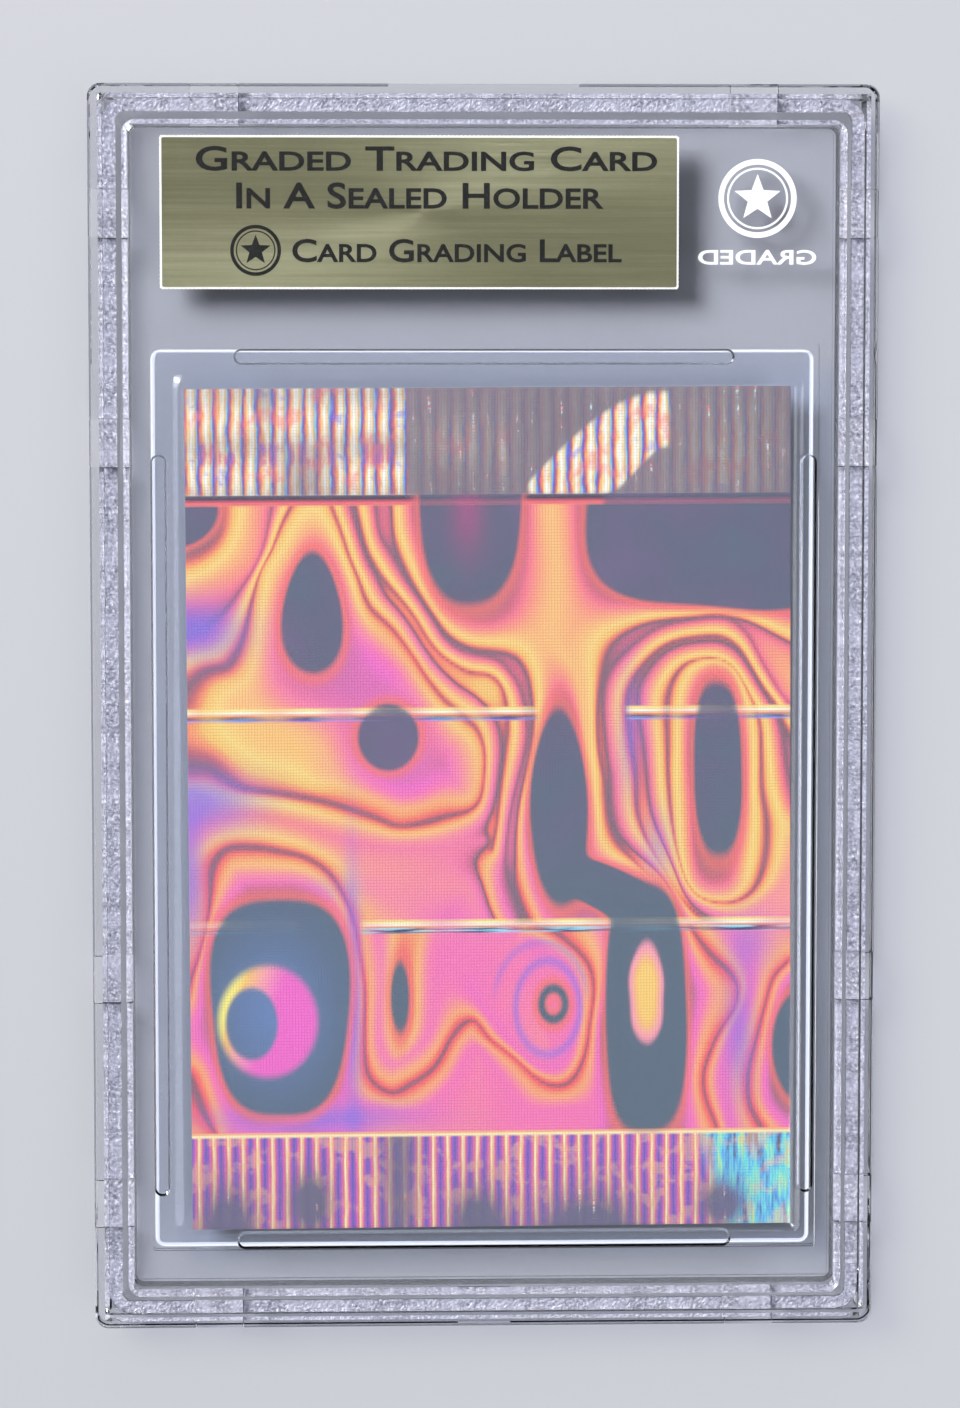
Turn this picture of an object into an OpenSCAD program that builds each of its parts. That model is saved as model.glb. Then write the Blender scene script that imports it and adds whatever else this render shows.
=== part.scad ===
// Graded card slab: two clear moulded shells, welded face to face round a trading card
// in a soft sleeve and a printed label. Everything is in millimetres.
// The slab lies flat with its back shell up. +Y points at the label end, +Z out of the
// back shell, and the origin is the centre of the underside.

/* [Slab] */
// Width over the flange
slab_w = 82.5; // [82.5:0.1:86]
// Height over the flange
slab_h = 131; // [131:0.1:136]
// Thickness of the closed slab
slab_t = 7.6; // [7.2:0.1:9]
// Corner radius of the flange
corner_r = 1.4; // [0.8:0.1:2]

/* [Shell frame] */
// Width of the low flange outside the raised frame
flange_w = 1.1; // [0.9:0.1:1.2]
// How far each flange reaches from the parting plane
flange_t = 1.9; // [1.4:0.1:2.4]
// Bevel along the outer edge of each flange
flange_bevel = 0.2; // [0.1:0.05:0.4]
// Bevel along the outer edge of the raised frame
frame_bevel = 0.5; // [0.2:0.05:0.7]
// Depth of the window below the top of the frame
window_recess = 0.9; // [0.5:0.1:1.2]
// Width of the slope that leads down to the window
window_slope = 0.7; // [0.3:0.1:1]
// Width of the window at the foot of its slope
window_w = 73.9; // [73:0.1:74.5]
// Height of the window at the foot of its slope
window_h = 122; // [121:0.1:123]
// Corner radius of the window
window_r = 0.8; // [0.4:0.1:2]

/* [Cavity] */
// Width of the shallow cavity that pinches the label
cavity_w = 73; // [72:0.1:74]
// Height of the shallow cavity
cavity_h = 120.7; // [120:0.1:122]
// Gap between the shells in the shallow cavity
cavity_gap = 0.52; // [0.52:0.02:0.8]
// Width of the deeper pocket for the sleeved card
pocket_w = 70.3; // [70:0.1:71.5]
// Height of the deeper pocket
pocket_h = 95.9; // [95.6:0.1:97]
// Height of the pocket's centre above the slab's centre
pocket_y = -9.3; // [-9.6:0.1:-9]
// Gap between the shells in the pocket
pocket_gap = 1.5; // [1.4:0.05:2]
// Corner radius of the pocket
pocket_r = 0.4; // [0.2:0.1:1]

/* [Clamp ribs] */
// Width of a clamp rib
rib_w = 1.25; // [1:0.05:1.4]
// How far a rib's foot spreads past its tip, on each side
rib_draft = 0.2; // [0.05:0.05:0.25]
// Length of a side rib
side_rib_l = 78; // [60:1:84]
// Length of a rib across the slab
cross_rib_l = 52; // [40:1:60]
// Distance of a side rib from the slab's long axis
side_rib_x = 34.1; // [34:0.05:34.3]
// Height of the middle of the side ribs above the slab's centre
side_rib_y = -12.2; // [-13:0.1:-11]
// Height of the upper cross rib
top_rib_y = 37.2; // [37:0.1:37.4]
// Height of the lower cross rib
foot_rib_y = -56.3; // [-56.5:0.1:-56.2]
// Gap between two facing ribs
rib_gap = 0.28; // [0.28:0.02:0.4]

/* [Weld and locating tabs] */
// Gap between the shells outside the weld
parting_gap = 0.03; // [0.02:0.01:0.06]
// Distance from the flange's edge to the weld band
weld_inset = 1.5; // [1.4:0.05:1.6]
// Width of the weld band
weld_w = 1.4; // [1:0.05:1.5]
// Depth of the groove in the front shell
groove_d = 1.4; // [1:0.1:1.8]
// Thickness of the fused plastic in the bottom of the groove
weld_t = 0.45; // [0.3:0.05:0.6]
// Thickness of the fused film over a locating tab
weld_film_t = 0.1; // [0.05:0.01:0.2]
// Clearance between tongue or tab and what it fits
tongue_fit = 0.08; // [0.05:0.01:0.15]
// Length of a locating tab
tab_l = 5.1; // [4:0.1:6]
// Places of the tabs along the short edges
end_tab_x = 28.1; // [20:0.1:30]
// Places of the inner tabs along the long edges
side_tab_y = 28.2; // [20:0.1:35]
// Places of the outer tabs along the long edges
corner_tab_y = 52.1; // [45:0.1:55]
// Length of the pry step in the label end
pry_l = 20; // [10:1:24]
// Width of the pry step
pry_w = 0.45; // [0.2:0.05:0.6]
// Height of the pry step
pry_t = 0.6; // [0.3:0.1:0.9]
// Length of the gate scar in the foot end
gate_l = 5.6; // [3:0.1:8]
// Depth of the gate scar
gate_d = 0.12; // [0.05:0.01:0.3]

/* [Cavity number] */
// How many raised ticks the front shell carries below the pocket
tick_count = 12; // [4:1:14]
// Distance between two ticks
tick_pitch = 2.1; // [1.5:0.1:2.4]
// Length of a tick
tick_l = 1.7; // [1:0.1:2]
// Height of a tick above the shell
tick_t = 0.12; // [0.05:0.01:0.15]

/* [Card and sleeve] */
// Width of the card
card_w = 63.5; // [63.3:0.1:63.6]
// Height of the card
card_h = 88.9; // [88.7:0.1:89]
// Thickness of the card's paper core
core_t = 0.8; // [0.6:0.02:0.8]
// Thickness of the foil or printed sheet on each face
skin_t = 0.08; // [0.04:0.01:0.08]
// Place of the card's centre
card_pos = [0.6, -10.45];
// Turn of the card in its sleeve, in degrees
card_turn = 0.3; // [-0.3:0.05:0.3]
// Width of the sleeve
sleeve_w = 69.5; // [69:0.1:69.7]
// Height of the sleeve
sleeve_h = 94.9; // [94.5:0.1:95]
// Place of the sleeve's centre
sleeve_pos = [-0.15, -9.5];
// Thickness of one sleeve film
film_t = 0.08; // [0.05:0.01:0.08]
// Width of the sleeve's heat-sealed edge
seal_w = 1.2; // [0.8:0.1:1.2]

/* [Label] */
// Width of the label
label_w = 54.2; // [50:0.1:56]
// Height of the label
label_h = 16; // [14:0.1:17]
// Place of the label's centre
label_pos = [-6.75, 52.2];
// Thickness of the label's paper
label_t = 0.3; // [0.2:0.02:0.3]
// Thickness of the foil on each face
label_foil_t = 0.04; // [0.02:0.01:0.05]
// White paper left bare round the foil
label_margin = 0.25; // [0.1:0.05:0.6]
// Thickness of an ink layer
ink_t = 0.02; // [0.01:0.01:0.03]
// Place of the mark printed in the front shell
mark_pos = [28.6, 51.2];

/* [Hidden] */
$fn = 48;

over = 1; // how far a cutting solid passes the face it opens
split_z = slab_t / 2; // the parting plane of the two shells
half_gap = parting_gap / 2;
frame_w = slab_w - 2 * flange_w;
frame_h = slab_h - 2 * flange_w;
weld_out_w = slab_w - 2 * weld_inset;
weld_out_h = slab_h - 2 * weld_inset;
weld_out_r = 2.4;
tab_reach = weld_inset + weld_w; // a tab's slot runs from the edge to the weld's inner wall
card_half_t = core_t / 2 + skin_t;
film_rest = 0.04; // clearance of a film from the other film, and from the card
dome_gap = 0.42; // clearance between the card's edge and the step in the film
turn_reach = abs(sin(card_turn)); // how much the turned card grows, per unit of the other side
dome_w = card_w + card_h * turn_reach + 2 * dome_gap;
dome_h = card_h + card_w * turn_reach + 2 * dome_gap;
label_half_t = label_t / 2;
foil_w = label_w - 2 * label_margin;
foil_h = label_h - 2 * label_margin;
tick_y = (pocket_y - pocket_h / 2 - cavity_h / 2) / 2;
tick_w = 0.3;

shell_colour = [0.85, 0.86, 0.9, 0.35];
film_colour = [0.75, 0.8, 0.88, 0.4];

// Rectangle with round corners, centred on the origin
module outline(w, h, r) {
    square([w - 2 * r, h], center = true);
    square([w, h - 2 * r], center = true);
    for (x = [-1, 1], y = [-1, 1])
        translate([x * (w / 2 - r), y * (h / 2 - r)]) circle(r);
}

// Flat band of even width, measured from its outer edge
module band(w, h, r, width) {
    difference() {
        outline(w, h, r);
        outline(w - 2 * width, h - 2 * width, r - width);
    }
}

// Bar with full-round ends, lying along X
module bar(length, width) {
    square([length - width, width], center = true);
    for (x = [-1, 1]) translate([x * (length - width) / 2, 0]) circle(width / 2);
}

// One rectangle at each locating tab, reaching inwards from the flange's edge
module tab_slots(length, reach) {
    for (s = [-1, 1]) {
        for (x = [-1, 1]) translate([x * end_tab_x, s * (slab_h - reach) / 2])
            square([length, reach], center = true);
        for (y = [-corner_tab_y, -side_tab_y, side_tab_y, corner_tab_y])
            translate([s * (slab_w - reach) / 2, y]) square([reach, length], center = true);
    }
}

// Block whose upper edges are bevelled all round, with mitred corners
module bevelled_block(w, h, top, bevel) {
    intersection() {
        rotate([90, 0, 0]) linear_extrude(h, center = true) bevelled_profile(w, top, bevel);
        rotate([90, 0, 90]) linear_extrude(w, center = true) bevelled_profile(h, top, bevel);
    }
}

module bevelled_profile(w, top, bevel) {
    polygon([[-w / 2, 0], [w / 2, 0], [w / 2, top - bevel], [w / 2 - bevel, top],
             [bevel - w / 2, top], [-w / 2, top - bevel]]);
}

// The sunk window: a tapered cut that widens from the window to the frame's top
module window_cut(top) {
    grow = 2 * window_slope * (1 + over / window_recess);
    hull() {
        translate([0, 0, top - window_recess]) linear_extrude(0.001)
            outline(window_w, window_h, window_r);
        translate([0, 0, top + over]) linear_extrude(0.001)
            outline(window_w + grow, window_h + grow, window_r + grow / 2);
    }
}

// One clamp rib lying along X, narrow at its tip and rooted in the pocket's floor
module rib(length) {
    hull() {
        translate([0, 0, rib_gap / 2]) linear_extrude(0.01) bar(length, rib_w);
        translate([0, 0, pocket_gap / 2]) linear_extrude(0.1)
            bar(length + 2 * rib_draft, rib_w + 2 * rib_draft);
    }
}

// All clamp ribs of one shell
module ribs() {
    for (x = [-1, 1]) translate([x * side_rib_x, side_rib_y]) rotate(90) rib(side_rib_l);
    for (y = [top_rib_y, foot_rib_y]) translate([0, y]) rib(cross_rib_l);
}

// One shell with its parting plane on z = 0 and its window facing up
module half_shell() {
    difference() {
        union() {
            translate([0, 0, half_gap]) hull() {
                linear_extrude(flange_t - half_gap - flange_bevel)
                    outline(slab_w, slab_h, corner_r);
                linear_extrude(flange_t - half_gap)
                    outline(slab_w - 2 * flange_bevel, slab_h - 2 * flange_bevel, corner_r - flange_bevel);
            }
            translate([0, 0, half_gap])
                bevelled_block(frame_w, frame_h, split_z - half_gap, frame_bevel);
        }
        window_cut(split_z);
        translate([0, 0, -over]) linear_extrude(over + cavity_gap / 2)
            square([cavity_w, cavity_h], center = true);
        translate([0, pocket_y, -over]) linear_extrude(over + pocket_gap / 2)
            outline(pocket_w, pocket_h, pocket_r);
        translate([0, slab_h / 2, flange_t]) cube([pry_l, 2 * pry_w, 2 * pry_t], center = true);
        translate([0, -slab_h / 2, flange_t / 2]) cube([gate_l, 2 * gate_d, flange_t / 2], center = true);
    }
    ribs();
}

// The lower shell: half shell with the weld groove, the locating tabs and the ticks
module front_shell() color(shell_colour) translate([0, 0, split_z]) {
    difference() {
        mirror([0, 0, 1]) half_shell();
        translate([0, 0, -groove_d]) linear_extrude(groove_d + over) difference() {
            band(weld_out_w, weld_out_h, weld_out_r, weld_w);
            tab_slots(tab_l, tab_reach);
        }
        translate([0, 0, -weld_film_t]) linear_extrude(weld_film_t + over) intersection() {
            band(weld_out_w, weld_out_h, weld_out_r, weld_w);
            tab_slots(tab_l, tab_reach);
        }
    }
    translate([0, 0, -half_gap - 0.1]) linear_extrude(flange_t + half_gap + 0.1 - flange_bevel)
        intersection() {
            tab_slots(tab_l - 2 * tongue_fit, flange_w - tongue_fit);
            outline(slab_w, slab_h, corner_r);
        }
    translate([0, 0, -half_gap - 0.1]) linear_extrude(flange_t + half_gap + 0.1) intersection() {
        tab_slots(tab_l - 2 * tongue_fit, flange_w - tongue_fit);
        outline(slab_w - 2 * flange_bevel, slab_h - 2 * flange_bevel, corner_r - flange_bevel);
    }
    translate([0, tick_y, -cavity_gap / 2 - 0.1]) linear_extrude(tick_t + 0.1)
        for (i = [0 : tick_count - 1])
            translate([(i - (tick_count - 1) / 2) * tick_pitch, 0])
                square([tick_w, tick_l], center = true);
}

// The upper shell: half shell with notches for the tabs, and the tongue for the groove
module back_shell() color(shell_colour) translate([0, 0, split_z]) {
    difference() {
        half_shell();
        translate([0, 0, -over]) linear_extrude(over + flange_t + 0.01)
            tab_slots(tab_l, flange_w);
    }
    translate([0, 0, weld_t - groove_d]) linear_extrude(groove_d - weld_t + half_gap + 0.1) difference() {
        band(weld_out_w - 2 * tongue_fit, weld_out_h - 2 * tongue_fit,
             weld_out_r - tongue_fit, weld_w - 2 * tongue_fit);
        tab_slots(tab_l + 2 * tongue_fit, tab_reach + over);
    }
}

// The frosted plastic that the weld left, in the groove and over the tabs
module weld_seam() color([0.92, 0.92, 0.96, 0.7]) translate([0, 0, split_z]) {
    translate([0, 0, -groove_d]) linear_extrude(weld_t) difference() {
        band(weld_out_w, weld_out_h, weld_out_r, weld_w);
        tab_slots(tab_l, tab_reach);
    }
    translate([0, 0, -weld_film_t]) linear_extrude(weld_film_t + half_gap) intersection() {
        band(weld_out_w, weld_out_h, weld_out_r, weld_w);
        tab_slots(tab_l, tab_reach);
    }
}

// One sleeve film above the parting plane: flat margin, step, and a flat over the card
module film() {
    difference() {
        union() {
            translate([sleeve_pos.x, sleeve_pos.y, film_rest])
                linear_extrude(film_t) outline(sleeve_w, sleeve_h, 1);
            translate([card_pos.x, card_pos.y, film_rest])
                linear_extrude(card_half_t + film_t)
                    outline(dome_w + 2 * film_t, dome_h + 2 * film_t, 0.6 + film_t);
        }
        translate([card_pos.x, card_pos.y, film_rest - over])
            linear_extrude(card_half_t + over) outline(dome_w, dome_h, 0.6);
    }
}

module sleeve_back_film() color(film_colour) translate([0, 0, split_z]) film();

module sleeve_front_film() color(film_colour) translate([0, 0, split_z]) mirror([0, 0, 1]) film();

// The heat seal that joins the films down both sides and across the foot
module sleeve_seal() color([0.8, 0.84, 0.9, 0.6]) {
    translate([sleeve_pos.x, sleeve_pos.y, split_z - film_rest]) linear_extrude(2 * film_rest)
        difference() {
            outline(sleeve_w, sleeve_h, 1);
            translate([0, seal_w]) square([sleeve_w - 2 * seal_w, sleeve_h], center = true);
        }
}

// A flat layer of the card between two heights above the parting plane
module card_layer(low, high) {
    translate([card_pos.x, card_pos.y, split_z + low]) rotate(card_turn)
        linear_extrude(high - low) square([card_w, card_h], center = true);
}

module card_core() color([0.93, 0.92, 0.9]) card_layer(-core_t / 2, core_t / 2);

module card_back_foil() color([0.95, 0.55, 0.6]) card_layer(core_t / 2, card_half_t);

module card_front_sheet() color([0.2, 0.3, 0.55]) card_layer(-card_half_t, -core_t / 2);

// A flat layer of the label between two heights above the parting plane
module label_layer(w, h, r, low, high) {
    translate([label_pos.x, label_pos.y, split_z + low])
        linear_extrude(high - low) outline(w, h, r);
}

module label_core() color([0.95, 0.95, 0.92]) label_layer(label_w, label_h, 0.3, -label_half_t, label_half_t);

module label_back_foil() color([0.6, 0.57, 0.4])
    label_layer(foil_w, foil_h, 0.2, label_half_t, label_half_t + label_foil_t);

module label_front_foil() color([0.6, 0.57, 0.4])
    label_layer(foil_w, foil_h, 0.2, -label_half_t - label_foil_t, -label_half_t);

// A row of plain bars, one per word, set out from the row's left end
module word_bars(widths, height, gap) {
    for (i = [0 : len(widths) - 1]) translate([start_of(widths, i, gap), -height / 2])
        square([widths[i], height]);
}

function start_of(widths, i, gap) = i == 0 ? 0 : start_of(widths, i - 1, gap) + widths[i - 1] + gap;

// Star with pointed rays, the plain device on the label and on the shell
module star(outer_r, inner_r, points) {
    polygon([for (i = [0 : 2 * points - 1])
        let (r = i % 2 == 0 ? outer_r : inner_r, a = 90 + i * 180 / points) r * [cos(a), sin(a)]]);
}

module ringed_star(r) {
    star(0.66 * r, 0.28 * r, 5);
    difference() {
        circle(r);
        circle(0.84 * r);
    }
}

module label_back_print() color([0.07, 0.07, 0.05]) {
    translate([label_pos.x, label_pos.y, split_z + label_half_t + label_foil_t]) linear_extrude(ink_t) {
        translate([-23.3, 5.55]) word_bars([14.5, 16, 15], 2.2, 1.35);
        translate([-19.1, 1.8]) word_bars([13, 23.8], 2.2, 1.4);
        translate([-13.3, -3.9]) word_bars([9.5, 8.4, 13.4], 1.9, 1.5);
        translate([-17.1, -3.9]) ringed_star(2.45);
    }
}

module label_front_print() color([0.07, 0.07, 0.05]) {
    translate([label_pos.x, label_pos.y, split_z - label_half_t - label_foil_t - ink_t]) linear_extrude(ink_t) {
        translate([-24, -5]) square([9, 10]);
        translate([-12, 4.3]) word_bars([12, 20], 2, 1.4);
        translate([-12, 0.6]) word_bars([9, 7, 14], 1.6, 1.2);
        translate([-12, -4.4]) word_bars([6, 6, 6, 6], 3, 3);
    }
}

// White print on the inner face of the front shell, beside the label
module shell_mark() color("white") {
    translate([mark_pos.x, mark_pos.y, split_z - cavity_gap / 2]) linear_extrude(ink_t) {
        translate([0, 1.7]) ringed_star(4);
        translate([-6, -4.2]) word_bars([12], 1.4, 1);
    }
}

front_shell();
back_shell();
weld_seam();
sleeve_front_film();
sleeve_back_film();
sleeve_seal();
card_core();
card_back_foil();
card_front_sheet();
label_core();
label_back_foil();
label_front_foil();
label_back_print();
label_front_print();
shell_mark();
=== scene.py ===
import math

import bpy
import numpy as np
from mathutils import Matrix, Vector


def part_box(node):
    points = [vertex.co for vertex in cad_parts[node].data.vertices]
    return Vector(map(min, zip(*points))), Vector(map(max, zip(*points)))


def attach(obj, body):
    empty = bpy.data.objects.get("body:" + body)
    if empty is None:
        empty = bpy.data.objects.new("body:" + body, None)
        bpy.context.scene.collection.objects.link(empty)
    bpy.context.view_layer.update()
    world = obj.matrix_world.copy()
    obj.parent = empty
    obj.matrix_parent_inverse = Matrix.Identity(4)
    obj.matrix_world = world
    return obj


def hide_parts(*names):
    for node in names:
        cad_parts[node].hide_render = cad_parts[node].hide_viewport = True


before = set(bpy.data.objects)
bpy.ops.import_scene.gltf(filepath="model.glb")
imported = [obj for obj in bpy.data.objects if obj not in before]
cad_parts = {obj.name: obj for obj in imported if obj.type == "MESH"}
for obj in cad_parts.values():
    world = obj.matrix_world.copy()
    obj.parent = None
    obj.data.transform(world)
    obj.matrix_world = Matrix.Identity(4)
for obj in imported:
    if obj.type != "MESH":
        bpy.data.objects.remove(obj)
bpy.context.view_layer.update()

mm = 0.001
print("frame loaded:", len(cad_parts), "nodes")


def middle(node):
    low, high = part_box(node)
    return (low + high) / 2


def smooth(low, high, x):
    # cubic ease from 0 at low to 1 at high; low may be the larger one
    t = np.clip((x - low) / (high - low), 0, 1)
    return t * t * (3 - 2 * t)


def waves(x, y, seed, size, count=6):
    # sum of plane sine waves with seeded directions, about `size` long, of unit strength
    draw = np.random.default_rng(seed)
    angle = draw.uniform(0, 2 * np.pi, count)
    pitch = 2 * np.pi / (size * draw.uniform(0.7, 1.6, count))
    start = draw.uniform(0, 2 * np.pi, count)
    along = x[..., None] * np.cos(angle) + y[..., None] * np.sin(angle)
    return np.sin(pitch * along + start).sum(-1) / math.sqrt(count)


def meshPiece(name, points, quads, triangles=None):
    # one mesh object at the origin, from an (n, 3) array in metres and face index arrays
    faces = quads.tolist() + ([] if triangles is None else triangles.tolist())
    mesh = bpy.data.meshes.new(name)
    mesh.from_pydata(points.tolist(), [], faces)
    mesh.update()
    piece = bpy.data.objects.new(name, mesh)
    bpy.context.scene.collection.objects.link(piece)
    return piece


def gridQuads(rows, cols, first=0):
    # quads of a rows x cols grid of vertices, counter-clockwise for columns along +X and rows along +Y
    row, col = np.arange(rows - 1)[:, None] * cols, np.arange(cols - 1)
    quads = np.stack([row + col, row + col + 1, row + cols + col + 1, row + cols + col], -1)
    return quads.reshape(-1, 4) + first


def loopQuads(rows, cols):
    # quads of a grid that closes on itself both ways
    index = np.arange(rows * cols).reshape(rows, cols)
    ahead, beside = np.roll(index, -1, 0), np.roll(index, -1, 1)
    return np.stack([index, ahead, np.roll(ahead, -1, 1), beside], -1).reshape(-1, 4)


def rimIndex(rows, cols):
    # vertex indices round a grid's edge, counter-clockwise seen from +Z
    grid = np.arange(rows * cols).reshape(rows, cols)
    return np.concatenate([grid[0, :-1], grid[:-1, -1], grid[-1, :0:-1], grid[:0:-1, 0]])


def backedSheet(name, top, floorZ):
    # closed sheet: a shaped top grid (rows, cols, 3), straight sides, and a flat underside fanned from
    # its middle
    rows, cols = top.shape[:2]
    rim = rimIndex(rows, cols)
    points = top.reshape(-1, 3)
    skirt = points[rim].copy()
    skirt[:, 2] = floorZ
    centre = skirt.mean(0)[None]
    first = rows * cols
    low = np.arange(len(rim)) + first
    walls = np.stack([rim, low, np.roll(low, -1), np.roll(rim, -1)], -1)
    fan = np.stack([np.full(len(rim), first + len(rim)), np.roll(low, -1), low], -1)
    quads = np.concatenate([gridQuads(rows, cols), walls])
    return meshPiece(name, np.concatenate([points, skirt, centre]), quads, fan)


def twoFaced(name, top, under):
    # closed sheet with two shaped faces, joined along their common edge
    rows, cols = top.shape[:2]
    rim = rimIndex(rows, cols)
    low = rim + rows * cols
    walls = np.stack([rim, low, np.roll(low, -1), np.roll(rim, -1)], -1)
    turned = gridQuads(rows, cols, rows * cols)[:, ::-1]
    points = np.concatenate([top.reshape(-1, 3), under.reshape(-1, 3)])
    return meshPiece(name, points, np.concatenate([gridQuads(rows, cols), turned, walls]))


def shadeSmooth(piece, angle=35):
    # smooth faces, with edges sharper than the angle kept crisp
    mesh = piece.data
    mesh.polygons.foreach_set("use_smooth", np.ones(len(mesh.polygons), bool))
    mesh.set_sharp_from_angle(angle=math.radians(angle))


def pointValue(piece, name, values):
    # one number per vertex, for the material to read
    layer = piece.data.attributes.new(name, "FLOAT", "POINT")
    layer.data.foreach_set("value", values.astype(np.float32).ravel())


def flatMap(piece, u, v):
    # UV map that holds the piece's own flat coordinates in millimetres
    index = np.zeros(len(piece.data.loops), np.int32)
    piece.data.loops.foreach_get("vertex_index", index)
    layer = piece.data.uv_layers.new(name="flat")
    layer.data.foreach_set("uv", np.stack([u[index], v[index]], -1).astype(np.float32).ravel())


def finishPiece(piece, material, slot, *nodes):
    piece.data.materials.clear()
    piece.data.materials.append(material)
    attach(piece, "root")
    if nodes:
        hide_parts(*nodes)


def keepNode(node, material):
    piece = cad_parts[node]
    piece.data.materials.clear()
    piece.data.materials.append(material)


class Nodes:
    # short names for the nodes of one material
    def __init__(self, name):
        self.material = bpy.data.materials.new(name)
        self.material.use_nodes = True
        self.tree = self.material.node_tree
        self.tree.nodes.clear()

    def add(self, kind, **values):
        node = self.tree.nodes.new(kind)
        for key, value in values.items():
            setattr(node, key, value)
        return node

    def link(self, source, target):
        self.tree.links.new(source, target)

    def put(self, socket, value):
        # a socket gets a link or a plain value
        if isinstance(value, bpy.types.NodeSocket):
            self.link(value, socket)
        elif value is not None:
            socket.default_value = value

    def calc(self, operation, a, b=None):
        node = self.add("ShaderNodeMath", operation=operation)
        for socket, value in zip(node.inputs, (a, b)):
            self.put(socket, value)
        return node.outputs[0]

    def times(self, a, b):
        return self.calc("MULTIPLY", a, b)

    def ease(self, value, low, high):
        # 0 at low to 1 at high; low may be the larger one
        node = self.add("ShaderNodeMapRange", interpolation_type="SMOOTHSTEP")
        self.put(node.inputs["Value"], value)
        self.put(node.inputs["From Min"], low)
        self.put(node.inputs["From Max"], high)
        return node.outputs["Result"]

    def near(self, value, centre, outer, inner):
        # 1 close to the centre, 0 from the outer distance on
        return self.ease(self.calc("ABSOLUTE", self.calc("SUBTRACT", value, centre)), outer, inner)

    def spread(self, value, low, high, outLow, outHigh):
        node = self.add("ShaderNodeMapRange")
        self.put(node.inputs["Value"], value)
        sockets = ("From Min", "From Max", "To Min", "To Max")
        for socket, number in zip(sockets, (low, high, outLow, outHigh)):
            node.inputs[socket].default_value = number
        return node.outputs["Result"]

    def mix(self, factor, a, b):
        node = self.add("ShaderNodeMix", data_type="RGBA")
        self.put(node.inputs["Factor"], factor)
        self.put(node.inputs["A"], a)
        self.put(node.inputs["B"], b)
        return node.outputs["Result"]

    def ramp(self, value, stops):
        # each stop is its place from 0 to 1 and a screen colour
        node = self.add("ShaderNodeValToRGB")
        elements = node.color_ramp.elements
        while len(elements) < len(stops):
            elements.new(0.5)
        for element, (place, *colour) in zip(elements, stops):
            element.position = place
            element.color = paint4(*colour)
        self.put(node.inputs["Fac"], value)
        return node.outputs["Color"]

    def place(self, scale=(1, 1, 1)):
        # object coordinates, stretched
        return self.stretch(self.add("ShaderNodeTexCoord").outputs["Object"], scale)

    def stretch(self, vector, scale):
        mapping = self.add("ShaderNodeMapping")
        mapping.inputs["Scale"].default_value = scale
        self.link(vector, mapping.inputs["Vector"])
        return mapping.outputs["Vector"]

    def noise(self, vector, scale, detail=3.0, rough=0.5):
        node = self.add("ShaderNodeTexNoise")
        node.inputs["Scale"].default_value = scale
        node.inputs["Detail"].default_value = detail
        node.inputs["Roughness"].default_value = rough
        self.put(node.inputs["Vector"], vector)
        return node.outputs["Fac"]

    def attribute(self, name):
        return self.add("ShaderNodeAttribute", attribute_name=name).outputs["Fac"]

    def bump(self, height, distance, strength):
        node = self.add("ShaderNodeBump")
        node.inputs["Strength"].default_value = strength
        node.inputs["Distance"].default_value = distance
        self.link(height, node.inputs["Height"])
        return node.outputs["Normal"]

    def surface(self, **values):
        # the main shader, with its sockets named as in Blender, spaces as underscores
        node = self.add("ShaderNodeBsdfPrincipled")
        for key, value in values.items():
            self.put(node.inputs[key.replace("_", " ")], value)
        return node

    def finish(self, shader):
        output = self.add("ShaderNodeOutputMaterial")
        self.link(shader.outputs[0], output.inputs["Surface"])
        return self.material

    def finishClear(self, shader, shade):
        # clear plastic lets light through to what it covers, dimmed by the shade colour
        clear = self.add("ShaderNodeBsdfTransparent")
        clear.inputs["Color"].default_value = (*shade, 1)
        rays = self.add("ShaderNodeLightPath")
        either = self.add("ShaderNodeMixShader")
        self.link(rays.outputs["Is Shadow Ray"], either.inputs[0])
        self.link(shader.outputs[0], either.inputs[1])
        self.link(clear.outputs[0], either.inputs[2])
        return self.finish(either)


def paint(red, green, blue):
    # a screen colour of 0 to 255 as the linear numbers that shaders take
    screen = [c / 255 for c in (red, green, blue)]
    return tuple(((c + 0.055) / 1.055) ** 2.4 if c > 10 / 255 else c / 12.92 for c in screen)


def paint4(red, green, blue):
    return (*paint(red, green, blue), 1)


shell = {
    "tint": (0.975, 0.978, 0.995, 1),  # a breath of violet in the plastic
    "bend": 1.57,  # refractive index of polystyrene
    "rough": 0.03,
    "scratchDepth": 0.002 * mm,
    # how tightly each set of scratches is drawn along x, y and z
    "scratches": ((3000, 160, 300), (200, 2600, 300)),
    "flow": 60.0,  # scale of the moulding's slow waviness
    "shade": (0.95, 0.955, 0.97),  # what its shadow lets through
}


def clearPlastic():
    n = Nodes("clearPlastic")
    # hairline scratches: the peaks of noise drawn out along two directions
    fine, cross = (n.noise(n.place(drawn), 1.0, 4.0, 0.6) for drawn in shell["scratches"])
    scratches = n.calc("MAXIMUM", n.ease(fine, 0.66, 0.8), n.ease(cross, 0.68, 0.82))
    flow = n.noise(n.place(), shell["flow"], 2.0)
    height = n.calc("ADD", n.times(scratches, -0.25), flow)
    body = n.surface(Base_Color=shell["tint"], Roughness=shell["rough"], IOR=shell["bend"],
                     Transmission_Weight=1.0, Normal=n.bump(height, shell["scratchDepth"], 0.5))
    return n.finishClear(body, shell["shade"])


clearMaterial = clearPlastic()
for node in ("front_shell", "back_shell"):
    keepNode(node, clearMaterial)
print("shells ready")


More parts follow.
